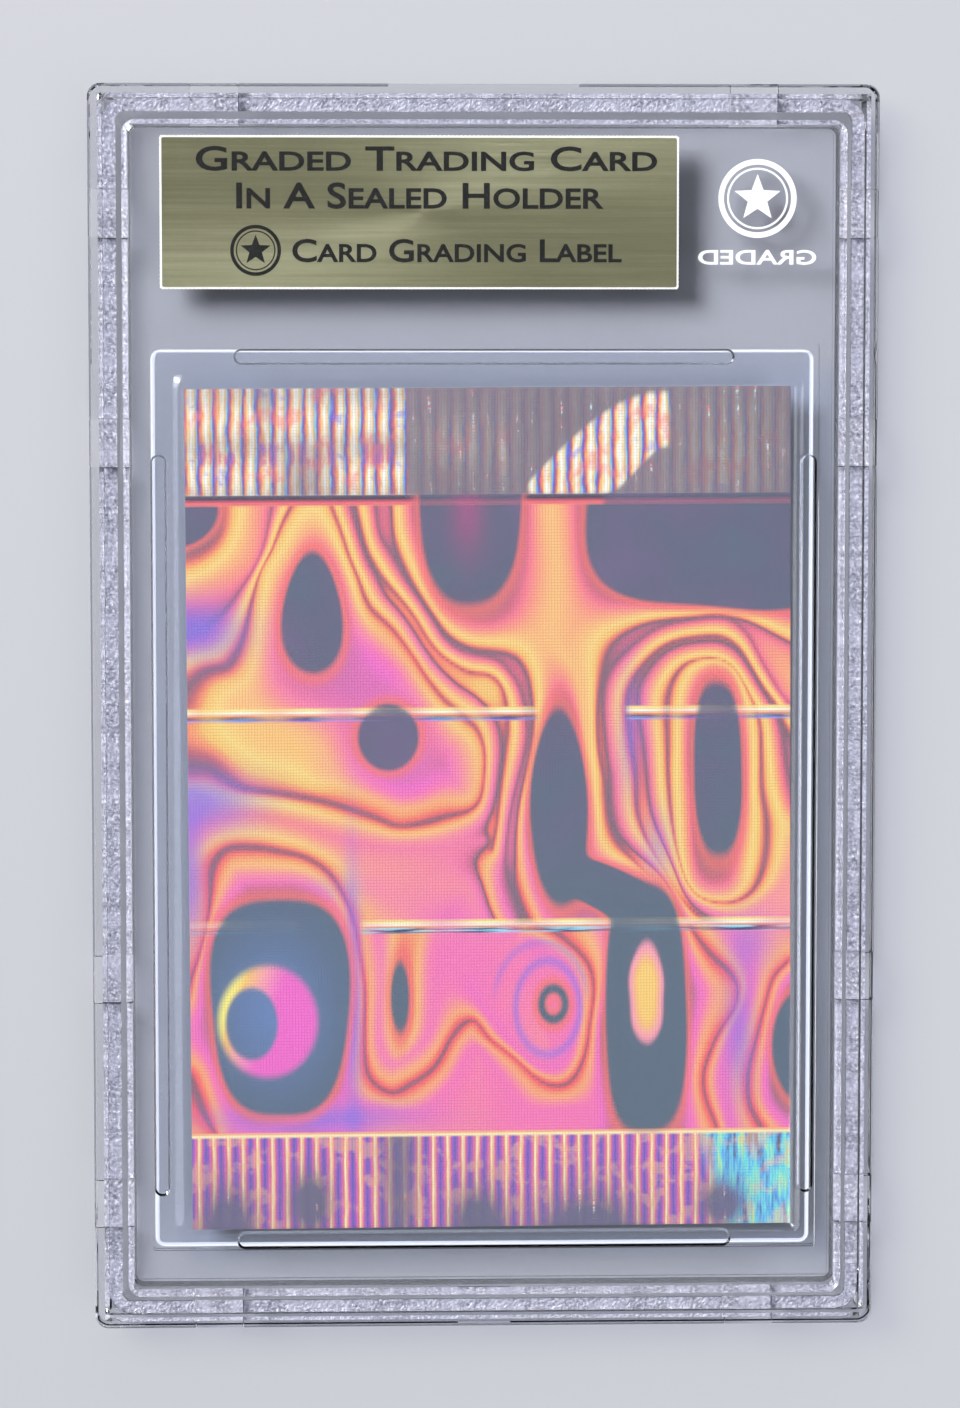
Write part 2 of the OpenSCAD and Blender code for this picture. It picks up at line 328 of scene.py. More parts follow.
weld = {
    "wide": 1.4 * mm, "corner": 2.4 * mm,  # width of the band, and radius of its outer corners
    "deep": 0.45 * mm, "tabDeep": 0.115 * mm,  # thickness in the groove, and over the locating tabs
    "grain": 0.16 * mm,  # distance between two samples along the band
    "ripple": 0.10 * mm, "tabRipple": 0.04 * mm,  # how uneven it is, in the groove and over the tabs
    "gap": 0.012 * mm,  # keeps the fused plastic just off the walls round it
    # distance of the tabs from the slab's middle lines, and the axis that their side faces
    "tabs": ((28.1 * mm, 1), (28.2 * mm, 0), (52.1 * mm, 0)),
    "tabHalf": 2.55 * mm,
    # samples across the band, as parts of its width; the doubled ones are its two walls
    "across": (0, 0, 0.04, 0.12, 0.25, 0.4, 0.55, 0.7, 0.84, 0.95, 1.0, 1.0),
}


def loopPath(width, height, radius, step):
    # walks once round a rounded rectangle, straight, arc, straight and so on:
    # the points, the outward direction at each of them, and the way walked
    straightX, straightY, arc = width - 2 * radius, height - 2 * radius, radius * math.pi / 2
    lengths = np.array([straightX, arc, straightY, arc] * 2)
    ends = np.concatenate([[0], np.cumsum(lengths)])
    s = np.linspace(0, ends[-1], int(ends[-1] / step), endpoint=False)
    part = np.searchsorted(ends, s, side="right") - 1
    inside = s - ends[part]
    side = part // 2  # 0 foot, 1 right, 2 top, 3 left
    onArc = part % 2 == 1
    turn = np.where(onArc, inside / radius, 0) + side * math.pi / 2 - math.pi / 2
    out = np.stack([np.cos(turn), np.sin(turn)], -1)
    cornerX = np.array([1, 1, -1, -1])[side] * straightX / 2
    cornerY = np.array([-1, 1, 1, -1])[side] * straightY / 2
    corner = np.stack([cornerX, cornerY], -1)
    ahead = np.stack([-out[:, 1], out[:, 0]], -1)
    run = np.where(side % 2 == 0, straightX, straightY)
    back = np.where(onArc, 0, inside - run)
    return corner + out * radius + ahead * back[:, None], out, s


def weldSeam():
    # a band carried round the groove: flat below, and above it the roof minus ripple times a lump of 0 to 1,
    # which is a normal draw averaged with its neighbours along the band; both faces step up at the tabs
    low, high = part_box("weld_seam")
    path, out, s = loopPath(high.x - low.x, high.y - low.y, weld["corner"], weld["grain"])
    onTab = np.zeros(len(s), bool)
    for place, axis in weld["tabs"]:
        straight = np.abs(out[:, axis]) > 0.999
        onTab |= straight & (np.abs(np.abs(path[:, 1 - axis]) - place) < weld["tabHalf"])
    draw = np.random.default_rng(41)
    across = np.clip(np.array(weld["across"]) * weld["wide"], weld["gap"], weld["wide"] - weld["gap"])
    grains = draw.normal(0, 1, (len(s), len(across)))
    grains = (grains + np.roll(grains, 1, 0) + np.roll(grains, -1, 0)) / 1.7
    lumps = np.clip(np.abs(grains), 0, 1.6) / 1.6
    under = np.where(onTab, high.z - weld["tabDeep"], low.z) + weld["gap"]
    roof = np.where(onTab, high.z, low.z + weld["deep"]) - weld["gap"]
    z = roof[:, None] - np.where(onTab, weld["tabRipple"], weld["ripple"])[:, None] * lumps
    z[:, 0] = z[:, -1] = under
    xy = path[:, None, :] - out[:, None, :] * across[None, :, None]
    points = np.concatenate([xy, z[..., None]], -1)
    return meshPiece("weldSeam", points.reshape(-1, 3), loopQuads(*points.shape[:2]))


def frostedPlastic():
    n = Nodes("frostedPlastic")
    speck = n.noise(n.place(), 2600.0, 4.0, 0.75)
    cloud = n.noise(n.place(), 500.0, 3.0)
    colour = n.ramp(speck, ((0.32, 74, 74, 86), (0.45, 136, 136, 150), (0.56, 184, 184, 198),
                            (0.66, 255, 255, 255)))
    colour = n.mix(n.times(n.ease(cloud, 0.4, 0.65), 0.5), colour, paint4(200, 200, 214))
    body = n.surface(Base_Color=colour, Roughness=0.42, IOR=shell["bend"], Transmission_Weight=0.5,
                     Normal=n.bump(speck, 0.05 * mm, 0.8))
    return n.finishClear(body, (0.8, 0.8, 0.84))


finishPiece(weldSeam(), frostedPlastic(), "weld_frost", "weld_seam")
print("weld ready")


sleeve = {
    "tint": (0.92, 0.945, 0.99, 1), "haze": (0.93, 0.95, 1, 1),  # the film's two clear blues
    "sealTint": (0.97, 0.98, 1, 1),
    "clear": 0.985, "sealClear": 0.6,  # how much light passes through the film and the seal
    "shade": (0.95, 0.965, 0.99),  # what their shadow lets through
    "thick": 0.07 * mm,
    "apart": 0.048 * mm,  # half the gap between the films at the edges
    "overCard": 0.53 * mm,  # height of the film over the card, from the sleeve's middle plane
    # how far the film takes to come down at the left, right, foot and top
    "slopes": (1.8 * mm, 0.8 * mm, 0.5 * mm, 2.0 * mm),
    "wrinkle": 0.016 * mm,
    "dip": 0.008 * mm,  # how far a wrinkle may sink towards the card
    "corner": 1.0 * mm,
    "sealWidth": 0.45 * mm, "openWidth": 0.3 * mm,  # the seal's width, and what is left of it at the open end
    "sealHalf": 0.03 * mm,  # half the seal's thickness
    "bead": 0.115 * mm,  # radius of the sealed edge
}
sleeveMiddle = middle("sleeve_seal").z


def filmSurface(up, lift):
    # height from the sleeve's middle plane: apart + (overCard - apart) * plateau + lift + wrinkle, where
    # plateau is 1 over the card and eases to 0 as the film comes down past each of the card's edges
    low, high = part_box("sleeve_back_film")
    cardLow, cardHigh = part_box("card_core")
    margin = 2.3 * sleeve["bead"]
    x = np.linspace(low.x + margin, high.x - margin, 150)
    y = np.linspace(low.y + margin, high.y - margin, 200)
    x, y = np.meshgrid(x, y)
    left, right, foot, top = sleeve["slopes"]
    side = np.maximum((cardLow.x - x) / left, (x - cardHigh.x) / right)
    end = np.maximum((cardLow.y - y) / foot, (y - cardHigh.y) / top)
    past = np.hypot(np.maximum(side, 0), np.maximum(end, 0))
    plateau = smooth(1, 0.05, past)
    wrinkle = waves(x / mm, y / mm, 17, 19) * sleeve["wrinkle"] * (0.25 + 0.75 * plateau)
    rise = sleeve["apart"] + (sleeve["overCard"] - sleeve["apart"]) * plateau
    z = sleeveMiddle + up * (rise + lift + np.maximum(wrinkle, -sleeve["dip"]) * plateau)
    return np.stack([x, y, z], -1)


def sleeveFilm(name, up):
    near, far = filmSurface(up, 0), filmSurface(up, sleeve["thick"])
    return twoFaced(name, far, near) if up > 0 else twoFaced(name, near, far)


def filmPlastic(name, tint, solid):
    n = Nodes(name)
    haze = n.noise(n.place(), 90.0, 3.0)
    colour = n.mix(n.spread(haze, 0.3, 0.7, 0, 1), tint, sleeve["haze"])
    body = n.surface(Base_Color=colour, Roughness=0.08, IOR=1.46, Transmission_Weight=solid,
                     Normal=n.bump(haze, 0.004 * mm, 0.6))
    return n.finishClear(body, sleeve["shade"])


def sealedEdge():
    # the heat seal: a thin band between the films that ends in a round bead at the sleeve's edge,
    # a circle's arc carried round the edge; at the open end little more than the bead is left
    low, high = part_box("sleeve_back_film")
    centre = (low + high) / 2
    path, out = loopPath(high.x - low.x, high.y - low.y, sleeve["corner"], 0.5 * mm)[:2]
    opened = smooth(0.6, 0.9, out[:, 1])
    reach = sleeve["sealWidth"] - (sleeve["sealWidth"] - sleeve["openWidth"]) * opened
    turn = np.radians(np.array([-150, -110, -70, -35, 0, 35, 70, 110, 150]))
    radius, half = sleeve["bead"], sleeve["sealHalf"]
    inward = np.concatenate([[1], np.zeros(len(turn)), [1]])
    inset = np.concatenate([[0], radius - radius * np.cos(turn), [0]])
    rise = np.concatenate([[-half], 0.95 * radius * np.sin(turn), [half]])
    distance = inset + inward * reach[:, None]
    xy = path[:, None, :] - out[:, None, :] * distance[..., None] + np.array([centre.x, centre.y])
    z = np.broadcast_to(sleeveMiddle + rise, distance.shape)
    points = np.concatenate([xy, z[..., None]], -1)
    return meshPiece("sleeveBead", points.reshape(-1, 3), loopQuads(*points.shape[:2]))


filmMaterial = filmPlastic("filmPlastic", sleeve["tint"], sleeve["clear"])
for name, up, node in (("sleeveBackFilm", 1, "sleeve_back_film"),
                       ("sleeveFrontFilm", -1, "sleeve_front_film")):
    film = sleeveFilm(name, up)
    shadeSmooth(film)
    finishPiece(film, filmMaterial, "sleeve_film", node)
seal = sealedEdge()
shadeSmooth(seal, 50)
sealMaterial = filmPlastic("sealPlastic", sleeve["sealTint"], sleeve["sealClear"])
finishPiece(seal, sealMaterial, "sleeve_seal", "sleeve_seal")
print("sleeve ready")


card = {
    "width": 63.5, "height": 88.9, "turn": 0.3,  # millimetres and degrees
    "flutes": 41,  # across the card, in the bands at both ends
    "topBand": 33.3, "footBand": -34.7,  # where the fluted bands end, up from the card's middle
    "ridges": (10.5, -12.0),  # heights of the two double ridges
    "lift": 0.7,  # how far the pattern's own middle lies above the card's, in mm
    "fluteHeight": 0.035, "ridgeHeight": 0.03,  # millimetres
    "groundHeight": 0.010, "swell": 0.004,  # how far the ground stands over the islands, and its slow waves
    "block": -8.5, "fan": (4.2, 19.0),  # right end of the bright block of flutes, and both ends of the fan
    "knots": 37.6,  # height at which some flutes of the block break off
    "weave": 0.31, "weaveShade": 0.3,  # pitch of the pressed cross-hatch in mm, and how dark it is
}

# dark islands of the foil's pattern, in millimetres from the pattern's middle:
# centre x, centre y, half width, half height, squareness, turn in degrees, taper
islands = {
    "tallEye": (-18.5, 20.6, 3.2, 6.4, 2.0, 0, 0.25),
    "valley": (-1.9, 37.0, 5.4, 16.2, 2.4, 0, 0.12),
    "plateau": (24.5, 34.5, 14.0, 14.0, 4.0, -4, 0),
    "disc": (-10.5, 7.2, 3.3, 3.6, 2.0, 0, 0),
    "lens": (7.3, -0.3, 3.0, 10.6, 2.0, 0, 0.1),
    "link": (12.4, -9.2, 5.2, 2.3, 2.0, -28, 0),
    "column": (16.4, -22.0, 4.3, 13.2, 2.8, 0, 0.05),
    "capsule": (24.1, 3.2, 2.5, 9.4, 2.6, 0, 0),
    "square": (-22.3, -21.6, 7.2, 11.4, 3.0, 0, -0.12),
    "dash": (-9.6, -20.2, 0.9, 3.8, 2.0, 0, 0),
    "rightOval": (33.0, -26.0, 3.2, 6.2, 2.0, 0, 0),
    "cornerPatch": (-32.5, 30.5, 4.2, 3.2, 2.0, 25, 0),
}

# how many turns of the rainbow each line and island stands at, above and below the lower ridge;
# the colours run through one rainbow between neighbours that are one turn apart
upperLines = (
    (0, ((-17, 35), (-16.9, 32.9), (-15.2, 27.1), (-13.7, 23.7), (-12.5, 20.6), (-10.2, 18.3), (-7.9, 15.6),
         (-6.4, 13.3), (-4.8, 11), (-2.5, 8.9), (-0.8, 7.3), (0.1, 4.6), (-0.2, 1.5), (-1.6, -0.2),
         (-4.8, -1), (-7.9, -2.1), (-10.2, -2.4), (-12.5, -1.6), (-15.2, -0.6), (-17.9, 0.2), (-22.1, 1),
         (-25.6, 1.7), (-27.9, 3.1), (-29.8, 4.2), (-32, 4.4))),
    (0, ((-19.5, 35), (-20.2, 32.9), (-21.4, 30.2), (-22.5, 27.1), (-23.7, 24.5), (-24.6, 21.4),
         (-25.4, 18.3), (-26.2, 16.2), (-27.3, 14.6), (-29.4, 13.7), (-32, 11.8))),
    (1, ((-22, 34), (-22.6, 31.8), (-23.2, 28), (-24.2, 25.4), (-25.6, 23), (-27.2, 20.8), (-29.4, 18.8),
         (-32, 17.7))),
    (1, ((-15, 35), (-14.4, 31), (-13.3, 27.9), (-12.1, 25.2), (-10.2, 22.9), (-7.9, 19.8), (-6.4, 17.5),
         (-4.8, 15.6), (-2.5, 14), (-0.2, 13.4), (1.3, 11.8), (1.8, 8.7), (1.6, 5.1), (1.4, 1.5),
         (0.9, -2.3), (0.2, -5))),
    (2, ((-12.1, 35), (-11.8, 31.8), (-11, 28.3), (-9.4, 26), (-7.9, 22.9), (-5.6, 19.6), (-4.6, 17.7),
         (-3.1, 16.3), (-1, 15.7), (0.9, 14.8), (2.5, 12.9), (3.3, 11), (3.5, 7.9), (3.2, 4.6), (2.7, 0.8),
         (2.1, -3.1), (1.7, -6.9), (2.1, -9.6), (3.3, -11.9), (4.4, -13.2))),
    (0, ((-32, -15), (-30.4, -13), (-29.8, -10), (-29.4, -6.9), (-28.5, -5.1), (-27, -4.4), (-24.1, -4.8),
         (-21.8, -5.3), (-19.1, -5.8), (-17.1, -6.9), (-15.6, -8.8), (-14.4, -11.2), (-14, -13.2))),
    (0.8, ((-0.8, -4), (-6, -4.9), (-12, -4.4), (-20, -2.4), (-27, -1.2), (-32, -2.5))),
    (0.66, ((-12.2, -8), (-8, -9.5), (-3, -9), (-0.8, -12.9))),
    (2.5, ((6.8, 35), (6.5, 28), (6.8, 22), (6.8, 17), (9.2, 13.5), (10.2, 9), (10.6, 3))),
    (2, ((32, 9.8), (30.6, 11.8), (29.1, 14.8), (27.5, 17.3), (25.2, 19), (22.9, 19.5), (19.4, 18.8),
         (16.4, 17.3), (13.5, 15.4), (12.1, 13.2), (11.5, 9.8), (11.6, 6), (12.1, 2.7), (12.9, -1.6),
         (14, -4.6), (15.9, -6.9), (17.9, -9.2), (19.8, -11.2), (21.3, -13.2))),
    (1, ((32, 0), (31.2, 4), (30.2, 9.8), (28.8, 12.5), (27.5, 14.8), (25.9, 16.6), (23.6, 17.5),
         (20.2, 17), (17.5, 15.3), (15.6, 13.1), (14.7, 10.6), (14.6, 6.5), (15, 2.7), (15.6, -1.2),
         (16.9, -4.4), (18.8, -7.7), (21, -10.6), (24, -13.2))),
    (0, ((18.6, 6), (18.7, 9.8), (19.4, 12.6), (20.9, 14.7), (23.6, 15.4), (25.9, 14.4), (27.4, 11.8),
         (28.2, 8.7), (28.3, 5), (28.4, 1.5), (28.9, -2.3), (28.8, -6.2), (27.9, -9), (25.9, -10.4),
         (23.3, -10.1), (21.3, -8.5), (19.8, -5), (19, -1.2), (18.6, 3), (18.6, 6))),
    (0.62, ((27, -12.9), (30.5, -9), (31.5, -5))),
    (0.5, ((-26, 10.5), (-20, 7), (-18, 4))),
)
upperIslands = {"tallEye": 0.9, "disc": 0.85, "valley": 3, "plateau": 3, "lens": 3, "link": 3, "column": 3,
                "capsule": 1, "square": 1, "cornerPatch": 0}
lowerLines = (
    (0, ((-13.9, -12.5), (-13.7, -18.5), (-13.5, -24), (-12.9, -28.1), (-11.8, -30), (-10.2, -30.8),
         (-8.7, -30), (-6.4, -28.1), (-4.8, -25), (-3.3, -23.1), (-1.8, -22.7), (-0.2, -24.8), (2.1, -26.9),
         (4.4, -29.4), (6.7, -30.4), (8.6, -29.6), (10.2, -26.9), (10.8, -23.9), (10.9, -20), (9.8, -16.5),
         (7.1, -13.9), (4, -12.7))),
    (0.68, ((-11.9, -12.9), (-12, -24), (-10.2, -27.8), (-7.4, -25), (-5.7, -19), (-3, -15.5), (2, -13.5))),
    (0.75, ((-2, -19.5), (1, -23.5), (4.8, -28), (8, -27.3), (9.2, -22), (8.2, -17.3), (4, -14.7))),
    (0.66, ((-28, -34.7), (-16, -32.6), (-8, -33.3), (-4.5, -30), (-1.8, -26), (1, -30), (4, -33.5),
         (9.5, -33))),
    (0, ((21.3, -12.5), (23.3, -16.2), (25, -18.1), (25.9, -20), (25.6, -22.7), (24, -25.8), (22.9, -28.5),
         (22.8, -31.6), (23.6, -35.2))),
    (0.75, ((25, -12.5), (27.3, -18), (26.6, -23), (25, -28), (24.8, -31), (25.3, -35))),
    (0, ((32, -17.6), (29.8, -19.2), (28.6, -22.3), (27.9, -25.8), (27.5, -28.9), (27.9, -32.3),
         (29.4, -35.2))),
    (0, ((-30.2, -12.5), (-30.9, -16), (-32, -20))),
    (0, ((-32, -29), (-30.4, -32.5), (-29, -35.2))),
)
lowerIslands = {"square": 1, "column": 1, "dash": 0.05, "rightOval": 1, "link": 1}

# ovals of the pattern: centre x, centre y, half width, half height
ovals = {
    "target": (6.6, -21.4, 1.25, 1.65),
    "smallRing": (6, -21.8, 3.4, 5),
    "largeRing": (5.3, -21, 4.9, 6.2),
    "pupil": (16.5, -20.3, 1.8, 5.4),
    "crescentHole": (-25.3, -23.2, 2.7, 3.8),
    "crescent": (-23.6, -23.0, 5.2, 5.9),
}

# soft spots of the pattern: strength, centre x, centre y, half width, half height
spots = {
    "rose": ((0.85, -9, 2.5, 9, 5), (0.8, -13, 13.5, 7, 5), (0.3, -17, 15, 9, 5), (-0.5, -25, 3, 8, 5),
             (-0.5, 24, -5, 10, 8), (-0.4, 12, -8, 4, 10), (-0.6, -9.6, -20, 2.2, 7), (0.5, 15, 6, 2.5, 9)),
    "violet": ((1.1, -31, 18.5, 5, 3), (1, -30.5, 0.4, 6, 3), (0.9, -31.6, -8, 1.4, 7),
               (1, -14.6, -20, 0.9, 13), (0.95, -19, -33.4, 10, 1.6), (0.8, 26.3, -25, 1.6, 7),
               (0.5, 27.5, -15, 2.5, 3), (0.6, 14.8, 7, 1.2, 6), (0.5, 17.6, -5, 1.6, 4),
               (0.3, -17, -9, 3, 1.5)),
    "blueCore": ((0.85, -23, -22, 6, 8),),
    "plum": ((0.9, -2.2, 31, 1.7, 4.5),),
    "blockGaps": ((1, -19.2, 34.6, 2.6, 2.2), (0.5, -23.5, 42, 0.8, 3)),
    "faintFlutes": ((0.16, -3, 38, 4, 2.6), (0.2, 1.6, 37, 0.5, 3), (0.14, 25, 37, 5, 6)),
    "footArches": ((1, -28, -45.5, 3.2, 5), (1, -19.3, -42.5, 2.2, 3.4), (1, -1.5, -45.5, 3, 4.6),
                   (1, 10, -46, 6, 4.6), (1, 24.5, -43, 2.4, 2.4)),
    "footPillar": ((1, -9.8, -40, 1.9, 30),),
}


def islandDistance(x, y, cx, cy, rx, ry, power, turn, taper):
    # roughly how far a point lies outside a superellipse:
    # (|dx/rx|^p + |dy/ry|^p)^(1/p) - 1, times rx^(3/4) ry^(1/4)
    angle = math.radians(turn)
    dx = (x - cx) * math.cos(angle) + (y - cy) * math.sin(angle)
    dy = (y - cy) * math.cos(angle) - (x - cx) * math.sin(angle)
    dx = dx / (1 - taper * np.clip(dy / ry, -1.3, 1.3))
    radius = (np.abs(dx / rx) ** power + np.abs(dy / ry) ** power) ** (1 / power)
    return (radius - 1) * rx ** 0.75 * ry ** 0.25


def softLine(corners, parts=4):
    # a smooth line through the corners: each stretch is the cubic that also looks at the corners beside it
    corners = np.array(corners, float)
    corners = np.concatenate([[2 * corners[0] - corners[1]], corners, [2 * corners[-1] - corners[-2]]])
    a, b, c, d = corners[:-3], corners[1:-2], corners[2:-1], corners[3:]
    t = np.linspace(0, 1, parts, endpoint=False)[:, None, None]
    line = b + 0.5 * ((c - a) * t + (2 * a - 5 * b + 4 * c - d) * t ** 2 + (3 * b - a - 3 * c + d) * t ** 3)
    return np.concatenate([line.transpose(1, 0, 2).reshape(-1, 2), corners[-2:-1]])


def lineDistance(x, y, line):
    # distance to the nearest stretch of a line
    nearest = np.full(x.shape, 1e9)
    for start, step in zip(line[:-1], np.diff(line, axis=0)):
        dx, dy = x - start[0], y - start[1]
        along = np.clip((dx * step[0] + dy * step[1]) / (step @ step + 1e-9), 0, 1)
        nearest = np.minimum(nearest, (dx - along * step[0]) ** 2 + (dy - along * step[1]) ** 2)
    return np.sqrt(nearest)


def rainbowTurns(x, y, lines, patches):
    # the mean of all lines' and islands' turns, each weighted by e^(-distance / 3) / (distance + 0.04)^1.15
    total, weights = 0, 0
    near = [(turns, lineDistance(x, y, softLine(line))) for turns, line in lines]
    near += [(turns, np.maximum(islandDistance(x, y, *islands[name]), 0)) for name, turns in patches.items()]
    for turns, distance in near:
        weight = np.exp(-distance / 3) / (distance + 0.04) ** 1.15
        total, weights = total + weight * turns, weights + weight
    return total / weights


def blobs(x, y, name):
    # soft spots added up: each is its strength times e^(-distance^2), in units of its half sizes
    return sum(strength * np.exp(-((x - cx) / rx) ** 2 - ((y - cy) / ry) ** 2)
               for strength, cx, cy, rx, ry in spots[name])


def ovalReach(x, y, name):
    # 0 at the oval's centre and 1 on its outline
    cx, cy, rx, ry = ovals[name]
    return np.hypot((x - cx) / rx, (y - cy) / ry)


def foilFields(x, y):
    # all that the foil's colour depends on, worked out over the card
    above = y > card["ridges"][1]
    y = y - card["lift"]
    # away: distance outside the nearest island, blended by -log(sum of e^(-1.3 distance)) / 1.3
    each = np.stack([islandDistance(x, y, *island) for island in islands.values()])
    away = -np.log(np.exp(-1.3 * each).sum(0)) / 1.3 + 0.12 * waves(x, y, 3, 14)
    away = np.minimum(away, (np.abs(ovalReach(x, y, "target") - 1) - 0.3) * 1.4)
    shiftX, shiftY = x + 0.35 * waves(x, y, 31, 13), y + 0.35 * waves(x, y, 37, 13)
    fringe = np.where(above, rainbowTurns(shiftX, shiftY, upperLines, upperIslands),
                      rainbowTurns(shiftX, shiftY, lowerLines, lowerIslands))
    rose = 0.1 + 0.8 * smooth(6, -16, y + 3 * waves(x, y, 11, 30)) + blobs(x, y, "rose")
    rings = np.exp(-((ovalReach(x, y, "smallRing") - 1) / 0.1) ** 2)
    rings += 0.7 * np.exp(-((ovalReach(x, y, "largeRing") - 1) / 0.07) ** 2) * smooth(-2, 2, y + 20)
    violet = 0.75 * rings + blobs(x, y, "violet")
    # two bright spots: the eye in the column, and the crescent in the square
    pupil = ovalReach(x, y, "pupil") + 0.04 * waves(x, y, 51, 4)
    eye = smooth(1.14, 0.9, pupil)
    crescent = smooth(1.1, 0.9, ovalReach(x, y, "crescent"))
    crescent = crescent * smooth(0.92, 1.12, ovalReach(x, y, "crescentHole"))
    tone = np.where(eye > 0, 0.12 + 0.5 * smooth(0.5, 1.0, pupil), smooth(-28.5, -22.5, x - 0.35 * (y + 22)))
    shares = {"rose": rose, "violet": violet, "spot": np.maximum(eye, crescent), "tone": tone,
              "blueCore": blobs(x, y, "blueCore"), "plum": blobs(x, y, "plum")}
    return {"away": away, "fringe": fringe} | {name: np.clip(value, 0, 1) for name, value in shares.items()}


def fluteGlow(x, y):
    # how brightly the flutes catch the light: at the top a full block at the left, a fan in the middle and
    # faint elsewhere, at the foot bright but for some arches and a pillar
    y = y - card["lift"]
    block = smooth(card["block"] + 0.3, card["block"] - 0.3, x) * (0.8 + 0.2 * np.sin(y * 1.1 + 1))
    block = block - 0.7 * blobs(x, y, "blockGaps")
    left, right = card["fan"]
    roof = 33.6 + 9.6 * np.sin(np.clip((x - 4.0) / 14.5, 0, 1) * math.pi / 2)
    ledge = 32.4 + 5.0 * smooth(12, 19, x)
    fan = smooth(-0.4, 0.4, roof - y) * smooth(left - 0.4, left + 0.4, x)
    fan = fan * smooth(right + 0.4, right - 0.4, x) * smooth(-0.3, 0.5, y - ledge)
    top = np.maximum(np.maximum(block, fan), 0.06 + blobs(x, y, "faintFlutes"))
    foot = 0.95 - 0.92 * np.clip(1.4 * blobs(x, y, "footArches"), 0, 1) - 0.85 * blobs(x, y, "footPillar")
    return np.clip(np.where(y > 0, top, foot), 0, 1)


def lineGlow(x, y, away):
    # where the ridges and the borders of the fluted bands shine: broken in places, and dim over the islands
    upper = np.maximum(smooth(5.4, 4.6, x), smooth(14.0, 15.0, x)) * (0.75 + 0.25 * np.sin(x * 0.9))
    lower = np.maximum(0.4 * smooth(-19.5, -21, x), smooth(-14.0, -13.2, x))
    lower = lower * (0.75 + 0.25 * np.sin(x * 0.7 + 2))
    top = np.maximum(smooth(-7.5, -8.5, x), smooth(3.4, 4.4, x) * smooth(12.6, 11.6, x))
    ridges = np.where(y > 0, upper, lower) * (0.1 + 0.9 * smooth(-0.6, 0.5, away))
    borders = np.where(y > 0, 0.25 + 0.75 * top, 0.1 + 0.9 * smooth(-0.8, 0.5, away))
    return np.where(np.abs(y) > 25, borders, ridges)


def cardFoil():
    # relief over the card: |sin| flutes in two bands, two double ridges of e^(-(distance / 0.3)^2) each, the
    # ground between the islands a step higher, and slow waves; all of it eases to nothing at the cut edge
    low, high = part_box("card_back_foil")
    centre = (low + high) / 2
    cols, rows = card["flutes"] * 8 + 1, 272
    x = np.linspace(-card["width"] / 2, card["width"] / 2, cols)
    y = np.linspace(-card["height"] / 2, card["height"] / 2, rows)
    x, y = np.meshgrid(x, y)
    band = np.maximum(smooth(-0.25, 0.05, y - card["topBand"]), smooth(0.25, -0.05, y - card["footBand"]))
    flute = np.abs(np.sin(np.pi * (x / card["width"] + 0.5) * card["flutes"]))
    relief = card["fluteHeight"] * band * flute
    for place in card["ridges"]:
        crests = np.exp(-((y - place) / 0.3) ** 2) + 0.7 * np.exp(-((y - place + 0.85) / 0.3) ** 2)
        relief = relief + card["ridgeHeight"] * crests
    fields = foilFields(x, y)
    relief = relief + card["groundHeight"] * smooth(-0.8, 0.8, fields["away"]) * (1 - band)
    relief = relief + card["swell"] * waves(x, y, 23, 16)
    edge = np.minimum(card["width"] / 2 - np.abs(x), card["height"] / 2 - np.abs(y))
    relief = relief * smooth(0, 0.5, edge)
    turn = math.radians(card["turn"])
    worldX = centre.x + (x * math.cos(turn) - y * math.sin(turn)) * mm
    worldY = centre.y + (x * math.sin(turn) + y * math.cos(turn)) * mm
    top = np.stack([worldX, worldY, high.z - 0.03 * mm + relief * mm], -1)
    piece = backedSheet("cardBackFoil", top, low.z + 0.002 * mm)
    rim = rimIndex(rows, cols)
    fields["glow"] = fluteGlow(x, y)
    fields["line"] = lineGlow(x, y, fields["away"])
    for name, value in fields.items():
        flat = value.ravel()
        pointValue(piece, name, np.concatenate([flat, flat[rim], flat[:1]]))
    u, v = x.ravel(), y.ravel()
    flatMap(piece, np.concatenate([u, u[rim], [0]]), np.concatenate([v, v[rim], [0]]))
    shadeSmooth(piece, 60)
    return piece


# one turn of each rainbow, and the profiles of the shining lines from below to above
warmRainbow = ((0.0, 128, 98, 106), (0.035, 196, 98, 98), (0.08, 248, 138, 98), (0.16, 250, 196, 100),
               (0.34, 254, 216, 120), (0.55, 255, 190, 108), (0.72, 255, 156, 112), (0.86, 252, 120, 128),
               (0.95, 206, 100, 116), (1.0, 128, 98, 106))
roseRainbow = ((0.0, 128, 100, 114), (0.03, 176, 92, 102), (0.065, 248, 92, 98), (0.12, 252, 108, 100),
               (0.18, 252, 140, 104), (0.28, 255, 164, 112), (0.42, 254, 146, 136), (0.6, 252, 112, 172),
               (0.78, 246, 108, 190), (0.92, 206, 106, 150), (1.0, 128, 100, 114))
# the cream middle of this rainbow is a painted highlight along each flute's crest
fluteRainbowAndHighlight = ((0.0, 140, 90, 128), (0.08, 226, 104, 110), (0.18, 252, 166, 96), (0.3, 255, 226, 150),
                (0.42, 255, 252, 240), (0.58, 255, 242, 196), (0.7, 250, 196, 116), (0.8, 140, 214, 222),
                (0.9, 112, 106, 210), (1.0, 140, 90, 128))
# the cream middle of this rainbow is a painted highlight along each crest of the foot's flutes
footRainbowAndHighlight = ((0.0, 98, 92, 176), (0.2, 206, 92, 178), (0.36, 248, 130, 128), (0.44, 255, 214, 140),
               (0.5, 255, 252, 214), (0.56, 255, 206, 130), (0.68, 246, 116, 150), (0.86, 156, 92, 190),
               (1.0, 98, 92, 176))
crestLine = ((0.0, 255, 150, 120), (0.2, 128, 104, 214), (0.32, 70, 56, 92), (0.46, 255, 150, 90),
             (0.6, 255, 252, 224), (0.76, 255, 230, 136), (1.0, 255, 180, 110))
